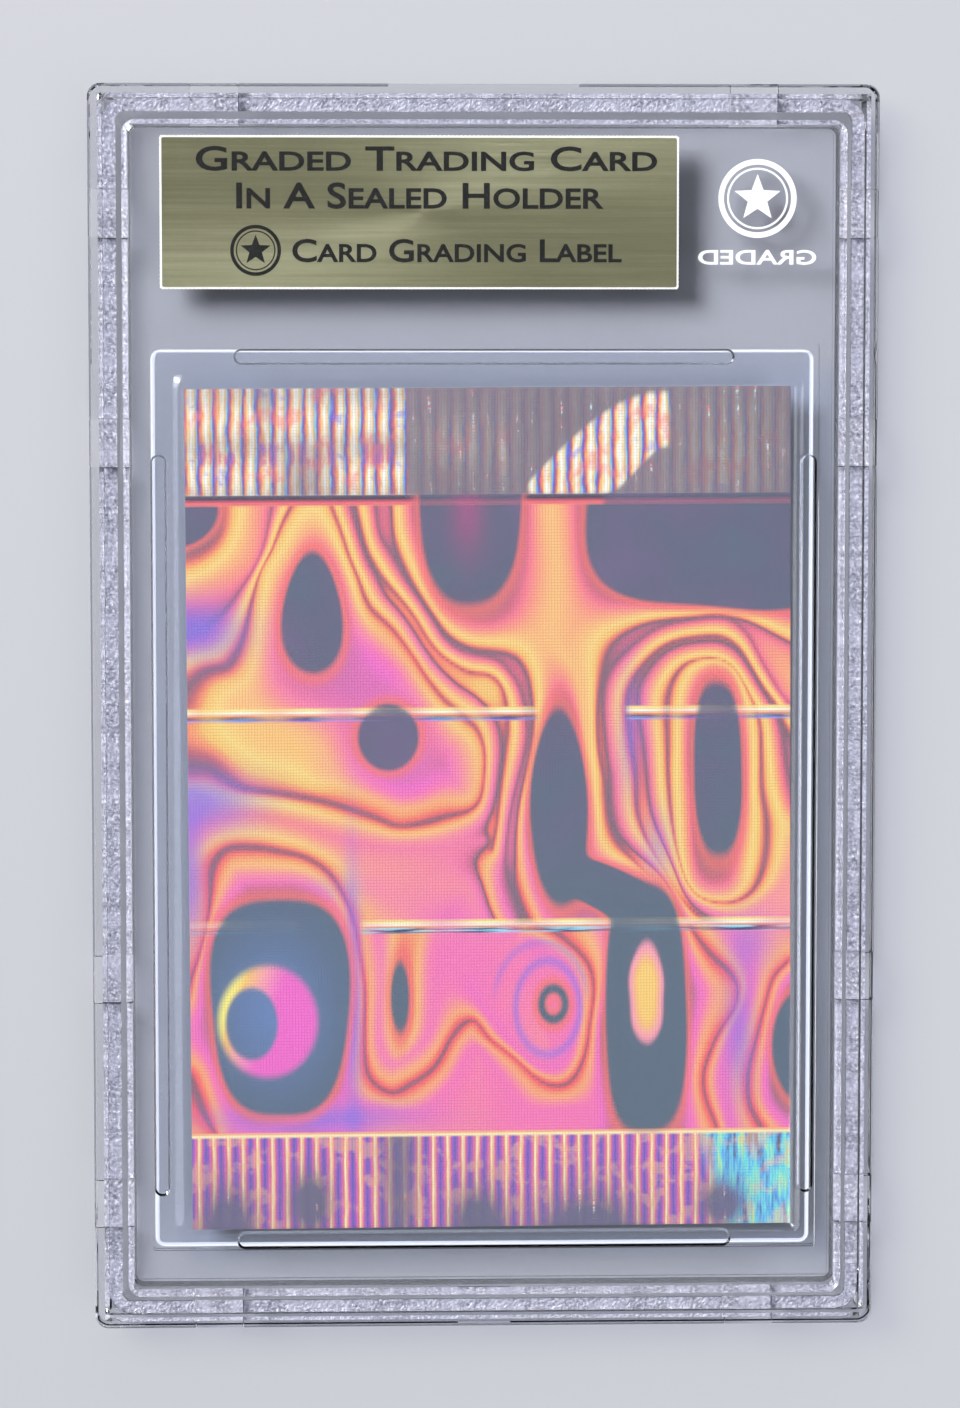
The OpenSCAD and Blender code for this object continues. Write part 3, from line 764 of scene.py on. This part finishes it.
footLine = ((0.0, 70, 56, 80), (0.3, 120, 90, 110), (0.5, 255, 214, 120), (0.66, 255, 240, 180),
            (0.85, 255, 170, 110), (1.0, 240, 120, 150))
topLine = ((0.0, 250, 150, 110), (0.3, 240, 100, 110), (0.5, 58, 52, 70), (0.66, 96, 84, 96),
           (0.8, 240, 250, 252), (1.0, 200, 230, 236))


def contourColour(n, v, cloud):
    # the rainbow between the contour lines, and the islands in it
    away = n.attribute("away")
    turn = n.calc("FRACT", n.calc("ADD", n.attribute("fringe"), 10.0))
    colour = n.mix(n.attribute("rose"), n.ramp(turn, warmRainbow), n.ramp(turn, roseRainbow))
    colour = n.mix(n.times(n.attribute("violet"), 0.85), colour, paint4(140, 112, 214))
    colour = n.mix(n.times(n.ease(away, 1.2, 0.2), 0.75), colour, paint4(250, 116, 104))
    # the islands: slate, greener at the foot, plum in the valley and blue in the square
    dusk = n.ramp(cloud, ((0.3, 84, 98, 112), (0.5, 94, 92, 112), (0.7, 108, 94, 122)))
    dusk = n.mix(n.ease(v, 8.0, -14.0), dusk, paint4(84, 100, 112))
    dusk = n.mix(n.attribute("blueCore"), dusk, paint4(104, 132, 176))
    dusk = n.mix(n.attribute("plum"), dusk, paint4(160, 82, 122))
    colour = n.mix(n.ease(away, 0.3, -0.3), colour, dusk)
    tones = n.ramp(n.attribute("tone"), ((0.0, 255, 240, 120), (0.15, 255, 196, 104), (0.5, 255, 170, 160),
                                         (1.0, 246, 104, 190)))
    return n.mix(n.attribute("spot"), colour, tones)


def withShiningLines(n, v, colour, patches):
    # the ridges and the borders of the bands: a cream crest with a coloured and dark line below it
    sparkle = n.mix(n.ease(patches, 0.42, 0.58), paint4(56, 48, 78), paint4(150, 240, 250))
    upper, lower = card["ridges"]
    for place, profile, shine in ((upper, crestLine, 0.25), (lower, crestLine, 0.9),
                                  (card["footBand"] + 0.1, footLine, 0.0),
                                  (card["topBand"] - 0.1, topLine, 0.0)):
        line = n.ramp(n.spread(v, place - 1.3, place + 0.7, 0, 1), profile)
        line = n.mix(n.times(n.near(v, place - 0.75, 0.4, 0.2), shine), line, sparkle)
        colour = n.mix(n.times(n.near(v, place - 0.3, 0.85, 0.6), n.attribute("line")), colour, line)
    return colour


def flutedColour(n, flat, u, v, cloud, patches):
    # the fluted bands: each flute runs through its own rainbow, where the light falls on it
    def grown(wide, tall, detail, rough=0.5):
        return n.noise(n.stretch(flat, (wide, tall, 1.0)), 1.0, detail, rough)

    across = n.times(n.calc("ADD", u, card["width"] / 2), card["flutes"] / card["width"])
    lowBand = n.ease(v, 1.0, -1.0)
    drift = n.calc("SUBTRACT", grown(0.8, 0.22, 3.0, 0.6), 0.5)
    phase = n.calc("FRACT", n.calc("ADD", across, n.times(drift, n.spread(lowBand, 0, 1, 0.7, 0.25))))
    # halfway up the block at the left, some flutes break off in a violet and pink knot
    broken = n.times(n.near(v, card["knots"], 1.5, 0.7), n.ease(grown(0.5, 0.25, 2.0), 0.42, 0.5))
    broken = n.times(broken, n.ease(u, card["block"] - 0.5, card["block"] - 1.5))
    bright = n.mix(n.times(broken, 0.85), n.ramp(phase, fluteRainbowAndHighlight), n.ramp(phase, footRainbowAndHighlight))
    tinted = grown(0.3, 0.35, 3.0, 0.6)
    bright = n.mix(n.ease(tinted, 0.5, 0.68), bright, n.mix(0.55, bright, paint4(255, 120, 110)))
    bright = n.mix(n.times(n.ease(tinted, 0.42, 0.3), 0.5), bright, paint4(110, 110, 220))
    # at the foot thin painted highlights along the crests, on violet, and streaks of teal in the right corner
    teal = n.ramp(grown(1.1, 0.16, 3.0, 0.6), ((0.36, 90, 92, 106), (0.46, 96, 176, 228),
                                               (0.56, 122, 232, 216), (0.68, 214, 240, 120)))
    corner = n.ease(n.calc("ADD", u, n.times(v, 0.25)), 12.5, 15.0)
    low = n.mix(corner, n.ramp(phase, footRainbowAndHighlight), teal)
    low = n.mix(n.times(n.ease(tinted, 0.5, 0.62), 0.45), low, paint4(255, 190, 130))
    bright = n.mix(lowBand, bright, low)
    # where no light falls: a dull ground with sparse threads on the crests
    dull = n.mix(cloud, paint4(110, 100, 104), paint4(136, 120, 128))
    dull = n.mix(lowBand, dull, n.mix(cloud, paint4(86, 96, 106), paint4(112, 98, 132)))
    thread = n.times(n.near(phase, 0.5, 0.12, 0.0), n.ease(grown(0.9, 0.3, 4.0, 0.7), 0.54, 0.66))
    threads = n.mix(n.ease(patches, 0.4, 0.6), paint4(236, 90, 100), paint4(190, 236, 230))
    dull = n.mix(thread, dull, threads)
    return n.mix(n.attribute("glow"), dull, bright)


def rainbowFoil():
    n = Nodes("rainbowFoil")
    flat = n.add("ShaderNodeUVMap", uv_map="flat").outputs["UV"]
    split = n.add("ShaderNodeSeparateXYZ")
    n.link(flat, split.inputs[0])
    u, v = split.outputs["X"], split.outputs["Y"]
    cloud = n.noise(flat, 0.09, 2.0)
    patches = n.noise(n.stretch(flat, (0.16, 3.0, 1.0)), 1.0, 2.0)
    colour = withShiningLines(n, v, contourColour(n, v, cloud), patches)
    inTop = n.ease(v, card["topBand"] - 0.12, card["topBand"] + 0.12)
    inFoot = n.ease(v, card["footBand"] + 0.12, card["footBand"] - 0.12)
    colour = n.mix(n.calc("MAXIMUM", inTop, inFoot), colour, flutedColour(n, flat, u, v, cloud, patches))
    # fine cross-hatch pressed into the whole foil
    pressed = 2 * math.pi / card["weave"]
    weave = n.calc("MAXIMUM", *(n.ease(n.calc("SINE", n.times(axis, pressed)), 0.1, 1.0) for axis in (u, v)))
    colour = n.mix(n.times(weave, card["weaveShade"]), colour, paint4(40, 38, 50))
    body = n.surface(Base_Color=colour, Metallic=0.15, Roughness=0.34, IOR=1.45,
                     Normal=n.bump(weave, 0.004 * mm, 0.4), Coat_Weight=0.25, Coat_Roughness=0.08)
    return n.finish(body)


finishPiece(cardFoil(), rainbowFoil(), "holographic_foil", "card_back_foil")
print("foil ready")


def cardStock(name, light, dark, size):
    # paper: cloudy white with short fibres
    n = Nodes(name)
    fibres = n.noise(n.place((900, 2600, 2600)), size, 4.0, 0.6)
    cloud = n.noise(n.place(), 500.0, 3.0)
    colour = n.mix(n.spread(fibres, 0.3, 0.7, 0, 1), light, dark)
    colour = n.mix(n.times(cloud, 0.25), colour, light)
    body = n.surface(Base_Color=colour, Roughness=0.75, Normal=n.bump(fibres, 0.01 * mm, 0.5))
    return n.finish(body)


paperMaterial = cardStock("cardStock", paint4(240, 238, 232), paint4(214, 211, 204), 1.0)
keepNode("card_core", paperMaterial)


front = {
    "rays": 16,
    "panelMiddle": -34,  # height from the card's middle, in mm as below
    # outer and inner half sizes of each soft edge
    "panelTall": (4.6, 4.4), "panelWide": (25.1, 24.9),
    "stripeTall": (0.9, 0.8), "stripeWide": (18.1, 17.9),
    "borderX": (28.9, 29.1), "borderY": (41.4, 41.6),
}


def cardFront():
    # printed front: white border, a sunburst over a blue field, and a plain panel with a stripe
    n = Nodes("cardFront")
    centre = middle("card_front_sheet")
    source = n.add("ShaderNodeTexCoord").outputs["Object"]
    mapping = n.add("ShaderNodeMapping")
    mapping.inputs["Location"].default_value = (-centre.x / mm, -centre.y / mm, 0)
    mapping.inputs["Scale"].default_value = (1 / mm, 1 / mm, 1 / mm)
    n.link(source, mapping.inputs["Vector"])
    split = n.add("ShaderNodeSeparateXYZ")
    n.link(mapping.outputs["Vector"], split.inputs[0])
    x, y = split.outputs["X"], split.outputs["Y"]
    reach = n.calc("SQRT", n.calc("ADD", n.times(x, x), n.times(y, y)))
    rays = n.ease(n.calc("SINE", n.times(n.calc("ARCTAN2", y, x), front["rays"])), -0.25, 0.25)
    field = n.ramp(n.spread(reach, 0, 50, 0, 1), ((0.0, 250, 214, 120), (0.3, 232, 122, 72),
                                                  (0.6, 60, 96, 160), (1.0, 24, 40, 92)))
    colour = n.mix(n.times(rays, 0.35), field, paint4(250, 240, 214))
    dots = n.add("ShaderNodeTexVoronoi", feature="F1")
    dots.inputs["Scale"].default_value = 0.9
    n.link(mapping.outputs["Vector"], dots.inputs["Vector"])
    colour = n.mix(n.times(n.ease(dots.outputs["Distance"], 0.34, 0.26), 0.12), colour, paint4(20, 30, 70))
    for part, tint in (("panel", (244, 242, 236)), ("stripe", (190, 60, 54))):
        inY = n.near(y, front["panelMiddle"], *front[part + "Tall"])
        inX = n.near(x, 0, *front[part + "Wide"])
        colour = n.mix(n.times(inY, inX), colour, paint4(*tint))
    edge = n.calc("MAXIMUM", n.near(x, 0, *front["borderX"]), n.near(y, 0, *front["borderY"]))
    colour = n.mix(edge, colour, paint4(240, 240, 238))
    grain = n.noise(mapping.outputs["Vector"], 6.0, 3.0)
    body = n.surface(Base_Color=colour, Roughness=0.22, Normal=n.bump(grain, 0.003 * mm, 0.3),
                     Coat_Weight=0.5, Coat_Roughness=0.1)
    return n.finish(body)


keepNode("card_front_sheet", cardFront())
print("card ready")


label = {
    "perforation": 0.44,  # pitch of the cut edge, in millimetres
    "bite": 0.07,  # depth of each cut
    "corner": 0.3, "bevel": (0.02, 0.015),  # height and depth of the bevel along the paper's edges
    "ink": 0.016,  # thickness of the prints, just short of the shell's face
    # words, left end, foot, width and height, in millimetres from the label's middle
    "lines": (("Graded Trading Card", -23.3, 4.26, 48.1, 2.6),
              ("In A Sealed Holder", -19.1, 0.35, 38.3, 2.75),
              ("Card Grading Label", -13.3, -5.2, 34.4, 2.45)),
    "star": (2.65, -17.1, -3.95),  # radius and middle of the ringed star
    # the front print: the grade as the words above, its ring's two radii and middle, and plain bars
    "grade": ("9.5", 15.2, -2.6, 9.5, 7.0),
    "ring": (6.9, 6.65, 19.9, 0.5),
    "bars": ((15.1, -4.2, 9.6, 0.7), (-24.6, 3.6, 9.0, 1.7), (-14.8, 3.6, 12.5, 1.7), (-1.5, 3.6, 8.0, 1.7),
             (-24.6, 0.9, 14.0, 1.1), (-9.8, 0.9, 7.0, 1.1)),
    "smallGrades": ("9.5", "9.5", "10", "9"), "step": 7.6,  # each above its own bar, this far apart
    # the print in the shell: the star's radius and height, the word as above, and how far up all of it lies
    "shellStar": (4.1, 1.9), "shellWord": ("GRADED", -6.2, -5.0, 12.4, 1.55), "shellUp": 0.2,
}
lettering = {
    "weight": 0.018,  # how much heavier the strokes are, as a part of the font's size
    "smallCaps": 0.78,
    "curveSteps": 4,
}
circleSteps = 72


def labelCore():
    # paper with a perforated edge: a rectangle's outline pulled in by bite * |sin(pi * way / pitch)|^3
    low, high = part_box("label_core")
    centre = (low + high) / 2
    path, out, s = loopPath(high.x - low.x, high.y - low.y, label["corner"] * mm, 0.09 * mm)
    bite = label["bite"] * mm * np.abs(np.sin(math.pi * s / (label["perforation"] * mm))) ** 3
    ring = path - out * bite[:, None] + np.array([centre.x, centre.y])
    count = len(s)
    tall, deep = (size * mm for size in label["bevel"])
    levels = ((high.z, deep), (high.z - tall, 0), (low.z + tall, 0), (low.z, deep))
    points = [np.concatenate([ring - out * pull, np.full((count, 1), z)], -1) for z, pull in levels]
    middles = np.array([[centre.x, centre.y, high.z], [centre.x, centre.y, low.z]])
    index = np.arange(4 * count).reshape(4, count)
    ahead = np.roll(index, -1, 1)
    walls = np.concatenate([np.stack([index[i + 1], ahead[i + 1], ahead[i], index[i]], -1) for i in range(3)])
    fans = np.concatenate([np.stack([np.full(count, 4 * count), index[0], ahead[0]], -1),
                           np.stack([np.full(count, 4 * count + 1), ahead[3], index[3]], -1)])
    return meshPiece("labelCore", np.concatenate(points + [middles]), walls, fans)


def brushedFoil():
    n = Nodes("brushedFoil")
    strokes = n.noise(n.place((60, 9000, 60)), 1.0, 5.0, 0.65)
    broad = n.noise(n.place((14, 1500, 14)), 1.0, 3.0, 0.6)
    cloud = n.noise(n.place(), 70.0, 2.0)
    mixed = n.calc("ADD", n.times(strokes, 0.6), n.times(broad, 0.4))
    colour = n.ramp(mixed, ((0.32, 94, 94, 70), (0.47, 106, 106, 80), (0.56, 113, 113, 87),
                            (0.7, 128, 127, 102)))
    colour = n.mix(n.spread(cloud, 0.35, 0.7, 0, 0.25), colour, paint4(126, 124, 96))
    body = n.surface(Base_Color=colour, Metallic=0.4, Roughness=n.spread(strokes, 0.3, 0.7, 0.3, 0.46),
                     Anisotropic=0.6, Normal=n.bump(mixed, 0.006 * mm, 0.6))
    return n.finish(body)


def inkFinish(name, base, worn):
    n = Nodes(name)
    grain = n.noise(n.place(), 9000.0, 3.0)
    colour = n.mix(n.ease(grain, 0.55, 0.8), base, worn)
    body = n.surface(Base_Color=colour, Roughness=0.6, Specular_IOR_Level=0.15,
                     Normal=n.bump(grain, 0.004 * mm, 0.5))
    return n.finish(body)


def joined(name, pieces):
    # several flat shapes as one piece
    with bpy.context.temp_override(active_object=pieces[0], selected_editable_objects=pieces,
                                   selected_objects=pieces, object=pieces[0]):
        bpy.ops.object.join()
    pieces[0].name = name
    pieces[0].data.name = name
    return pieces[0]


def letters(words, width, height, thick):
    # the words as a solid mesh whose box starts at the origin and is width x height x thick
    curve = bpy.data.curves.new("letters", "FONT")
    curve.body = words
    curve.extrude = 0.5
    curve.offset = lettering["weight"]
    curve.resolution_u = lettering["curveSteps"]
    curve.small_caps_scale = lettering["smallCaps"]
    for style in curve.body_format:
        style.use_small_caps = True
    holder = bpy.data.objects.new("letters", curve)
    bpy.context.scene.collection.objects.link(holder)
    bpy.context.view_layer.update()
    mesh = bpy.data.meshes.new_from_object(holder.evaluated_get(bpy.context.evaluated_depsgraph_get()))
    bpy.data.objects.remove(holder)
    piece = bpy.data.objects.new("letters", mesh)
    bpy.context.scene.collection.objects.link(piece)
    points = np.zeros(len(mesh.vertices) * 3, np.float32)
    mesh.vertices.foreach_get("co", points)
    points = points.reshape(-1, 3)
    low, high = points.min(0), points.max(0)
    points = (points - low) / (high - low) * np.array([width, height, thick])
    mesh.vertices.foreach_set("co", points.astype(np.float32).ravel())
    mesh.update()
    return piece


def prism(ring, thick):
    # a closed solid between a flat outline at height 0 and the same outline at height `thick`
    count = len(ring)
    low = np.concatenate([ring, np.zeros((count, 1))], -1)
    high = np.concatenate([ring, np.full((count, 1), thick)], -1)
    ends = np.concatenate([np.append(ring.mean(0), 0)[None], np.append(ring.mean(0), thick)[None]])
    index = np.arange(count)
    ahead = np.roll(index, -1)
    walls = np.stack([index, ahead, ahead + count, index + count], -1)
    fans = np.concatenate([np.stack([np.full(count, 2 * count), ahead, index], -1),
                           np.stack([np.full(count, 2 * count + 1), index + count, ahead + count], -1)])
    return meshPiece("flatShape", np.concatenate([low, high, ends]), walls, fans)


def plate(width, height, thick):
    # a flat bar with softened corners, its box starting at the origin; all in millimetres
    path = loopPath(width, height, 0.1, 0.12)[0]
    return prism(path + np.array([width / 2, height / 2]), thick)


def hoop(radius, inner, thick):
    # a flat ring of rectangular section, centred on the origin: a circle at each corner of the section
    turn = np.linspace(0, 2 * np.pi, circleSteps, endpoint=False)
    circle = np.stack([np.cos(turn), np.sin(turn)], -1)
    corners = [(radius, 0), (radius, thick), (inner, thick), (inner, 0)]
    circles = [np.concatenate([circle * r, np.full((circleSteps, 1), z)], -1) for r, z in corners]
    index = np.arange(4 * circleSteps).reshape(4, circleSteps)
    above = np.roll(index, -1, 0)
    quads = np.stack([index, np.roll(index, -1, 1), np.roll(above, -1, 1), above], -1).reshape(-1, 4)
    return meshPiece("hoop", np.concatenate(circles), quads)


def starShape(radius, inner, thick):
    # a five-pointed star: ten corners that lie by turns at the radius and at the inner radius
    turn = math.pi / 2 + np.arange(10) * math.pi / 5
    reach = np.where(np.arange(10) % 2 == 0, radius, inner)
    return prism(np.stack([reach * np.cos(turn), reach * np.sin(turn)], -1), thick)


def moved(piece, x, y):
    piece.data.transform(Matrix.Translation((x, y, 0)))
    return piece


def word(words, x, y, wide, tall):
    return moved(letters(words, wide, tall, label["ink"]), x, y)


def bar(x, y, wide, tall):
    return moved(plate(wide, tall, label["ink"]), x, y)


def ringedStar(radius, x, y):
    ink = label["ink"]
    shapes = [hoop(radius, 0.86 * radius, ink), hoop(0.78 * radius, 0.73 * radius, ink),
              starShape(0.62 * radius, 0.26 * radius, ink)]
    return [moved(shape, x, y) for shape in shapes]


def settle(piece, x, y, z, flip=False):
    # millimetres to metres, about a point; flip turns the piece over so that it reads from below
    turn = Matrix.Rotation(math.pi, 4, "Y") if flip else Matrix.Identity(4)
    piece.data.transform(Matrix.Translation((x, y, z)) @ Matrix.Scale(mm, 4) @ turn)
    return piece


def labelPrints():
    centre = middle("label_core")
    backZ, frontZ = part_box("label_back_print")[0].z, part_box("label_front_print")[1].z
    shapes = [word(*line) for line in label["lines"]] + ringedStar(*label["star"])
    back = settle(joined("labelBackPrint", shapes), centre.x, centre.y, backZ)
    outer, inner, x, y = label["ring"]
    shapes = [word(*label["grade"]), moved(hoop(outer, inner, label["ink"]), x, y)]
    shapes += [bar(*place) for place in label["bars"]]
    for i, grade in enumerate(label["smallGrades"]):
        shapes.append(word(grade, -24.4 + label["step"] * i, -3.4, 0.97 * len(grade), 2.1))
        shapes.append(bar(-24.6 + label["step"] * i, -5.2, 5.4, 0.5))
    front = settle(joined("labelFrontPrint", shapes), centre.x, centre.y, frontZ, flip=True)
    return back, front


def shellMark():
    # white print in the front shell, made to read from the front
    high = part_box("shell_mark")[1]
    centre = middle("shell_mark")
    radius, up = label["shellStar"]
    shapes = ringedStar(radius, 0, up) + [word(*label["shellWord"])]
    return settle(joined("shellMark", shapes), centre.x, centre.y + label["shellUp"] * mm, high.z, flip=True)


foilMaterial = brushedFoil()
labelPaper = cardStock("labelPaper", paint4(246, 246, 242), paint4(226, 225, 218), 1.2)
finishPiece(labelCore(), labelPaper, "label_paper", "label_core")
keepNode("label_back_foil", foilMaterial)
keepNode("label_front_foil", foilMaterial)
blackInk = inkFinish("blackInk", paint4(8, 8, 7), paint4(24, 23, 19))
backPrint, frontPrint = labelPrints()
finishPiece(backPrint, blackInk, "black_ink", "label_back_print")
finishPiece(frontPrint, blackInk, "black_ink", "label_front_print")
whiteInk = inkFinish("whiteInk", paint4(246, 246, 248), paint4(222, 222, 226))
finishPiece(shellMark(), whiteInk, "white_ink", "shell_mark")
print("label ready")


studio = {
    "floor": paint4(156, 158, 164),
    "sky": paint4(206, 210, 222),
    "skyStrength": 0.05,
    "wallStrength": 0.5,
    "wallTop": 0.0,  # height of the direction, as a sine, where the wall starts to fade
    "ceiling": 0.22,  # and where the ceiling is reached
    "sun": ((-0.42, 0.3, 0.5), 0.5, 5.4, (1, 0.99, 0.98)),  # where it stands, its angle, W/m2, colour
    # name, place, width and height in metres, power in watts, colour
    "lamps": (("keyPanel", (-0.42, 0.3, 0.5), 0.5, 0.3, 2.0, (1, 0.98, 0.96)),
              ("fillPanel", (0.45, -0.2, 0.5), 0.5, 0.4, 2.0, (0.96, 0.97, 1)),
              ("headPanel", (0.05, 0.62, 0.4), 0.7, 0.2, 1.6, (1, 1, 1))),
}


def studioSky():
    # a pale room wall at eye height that fades to a dim ceiling, by the height of the direction looked in
    world = bpy.data.worlds.new("studioSky")
    world.use_nodes = True
    nodes, links = world.node_tree.nodes, world.node_tree.links
    kinds = ("TexCoord", "SeparateXYZ", "MapRange")
    direction, axes, fade = (nodes.new("ShaderNode" + kind) for kind in kinds)
    fade.interpolation_type = "SMOOTHSTEP"
    for socket, value in (("From Min", studio["wallTop"]), ("From Max", studio["ceiling"]),
                          ("To Min", studio["wallStrength"]), ("To Max", studio["skyStrength"])):
        fade.inputs[socket].default_value = value
    back = nodes["Background"]
    back.inputs["Color"].default_value = studio["sky"]
    links.new(direction.outputs["Generated"], axes.inputs[0])
    links.new(axes.outputs["Z"], fade.inputs["Value"])
    links.new(fade.outputs["Result"], back.inputs["Strength"])
    return world


def hangLight(light, place, power, tint):
    light.energy, light.color = power, tint
    lamp = bpy.data.objects.new(light.name, light)
    lamp.location = place
    lamp.rotation_mode = "QUATERNION"
    lamp.rotation_quaternion = (-Vector(place)).to_track_quat("-Z", "Y")
    bpy.context.scene.collection.objects.link(lamp)


def floorAndLights():
    bpy.ops.mesh.primitive_plane_add(size=6)
    floor = bpy.context.active_object
    floor.name = "floor"
    n = Nodes("floorPaint")
    body = n.surface(Base_Color=studio["floor"], Roughness=0.6)
    floor.data.materials.append(n.finish(body))
    bpy.context.scene.world = studioSky()
    place, angle, power, tint = studio["sun"]
    light = bpy.data.lights.new("sun", "SUN")
    light.angle = angle
    hangLight(light, place, power, tint)
    for name, place, wide, tall, power, tint in studio["lamps"]:
        light = bpy.data.lights.new(name, "AREA")
        light.shape, light.size, light.size_y = "RECTANGLE", wide, tall
        hangLight(light, place, power, tint)


view = {
    "eye": (-16.6, 38.6, 466.2),  # millimetres, over the slab, a little towards the label end and the left
    "target": (-0.42, 0.67, 3.8),
    "lens": 112.5,
}


def lookDown():
    # the camera looks from the eye to the target, with the label end up
    eye, target = (Vector(view[key]) * mm for key in ("eye", "target"))
    back = (eye - target).normalized()
    right = Vector((0, 1, 0)).cross(back).normalized()
    up = back.cross(right)
    camera = bpy.data.cameras.new("camera")
    camera.lens = view["lens"]
    camera.sensor_width = 36
    camera.clip_start = 0.01
    holder = bpy.data.objects.new("camera", camera)
    holder.matrix_world = Matrix((right, up, back)).transposed().to_4x4()
    holder.location = eye
    bpy.context.scene.collection.objects.link(holder)
    bpy.context.scene.camera = holder


floorAndLights()
lookDown()
bpy.context.scene.view_settings.view_transform = "Standard"
bpy.context.scene.cycles.caustics_reflective = False
bpy.context.scene.cycles.caustics_refractive = False
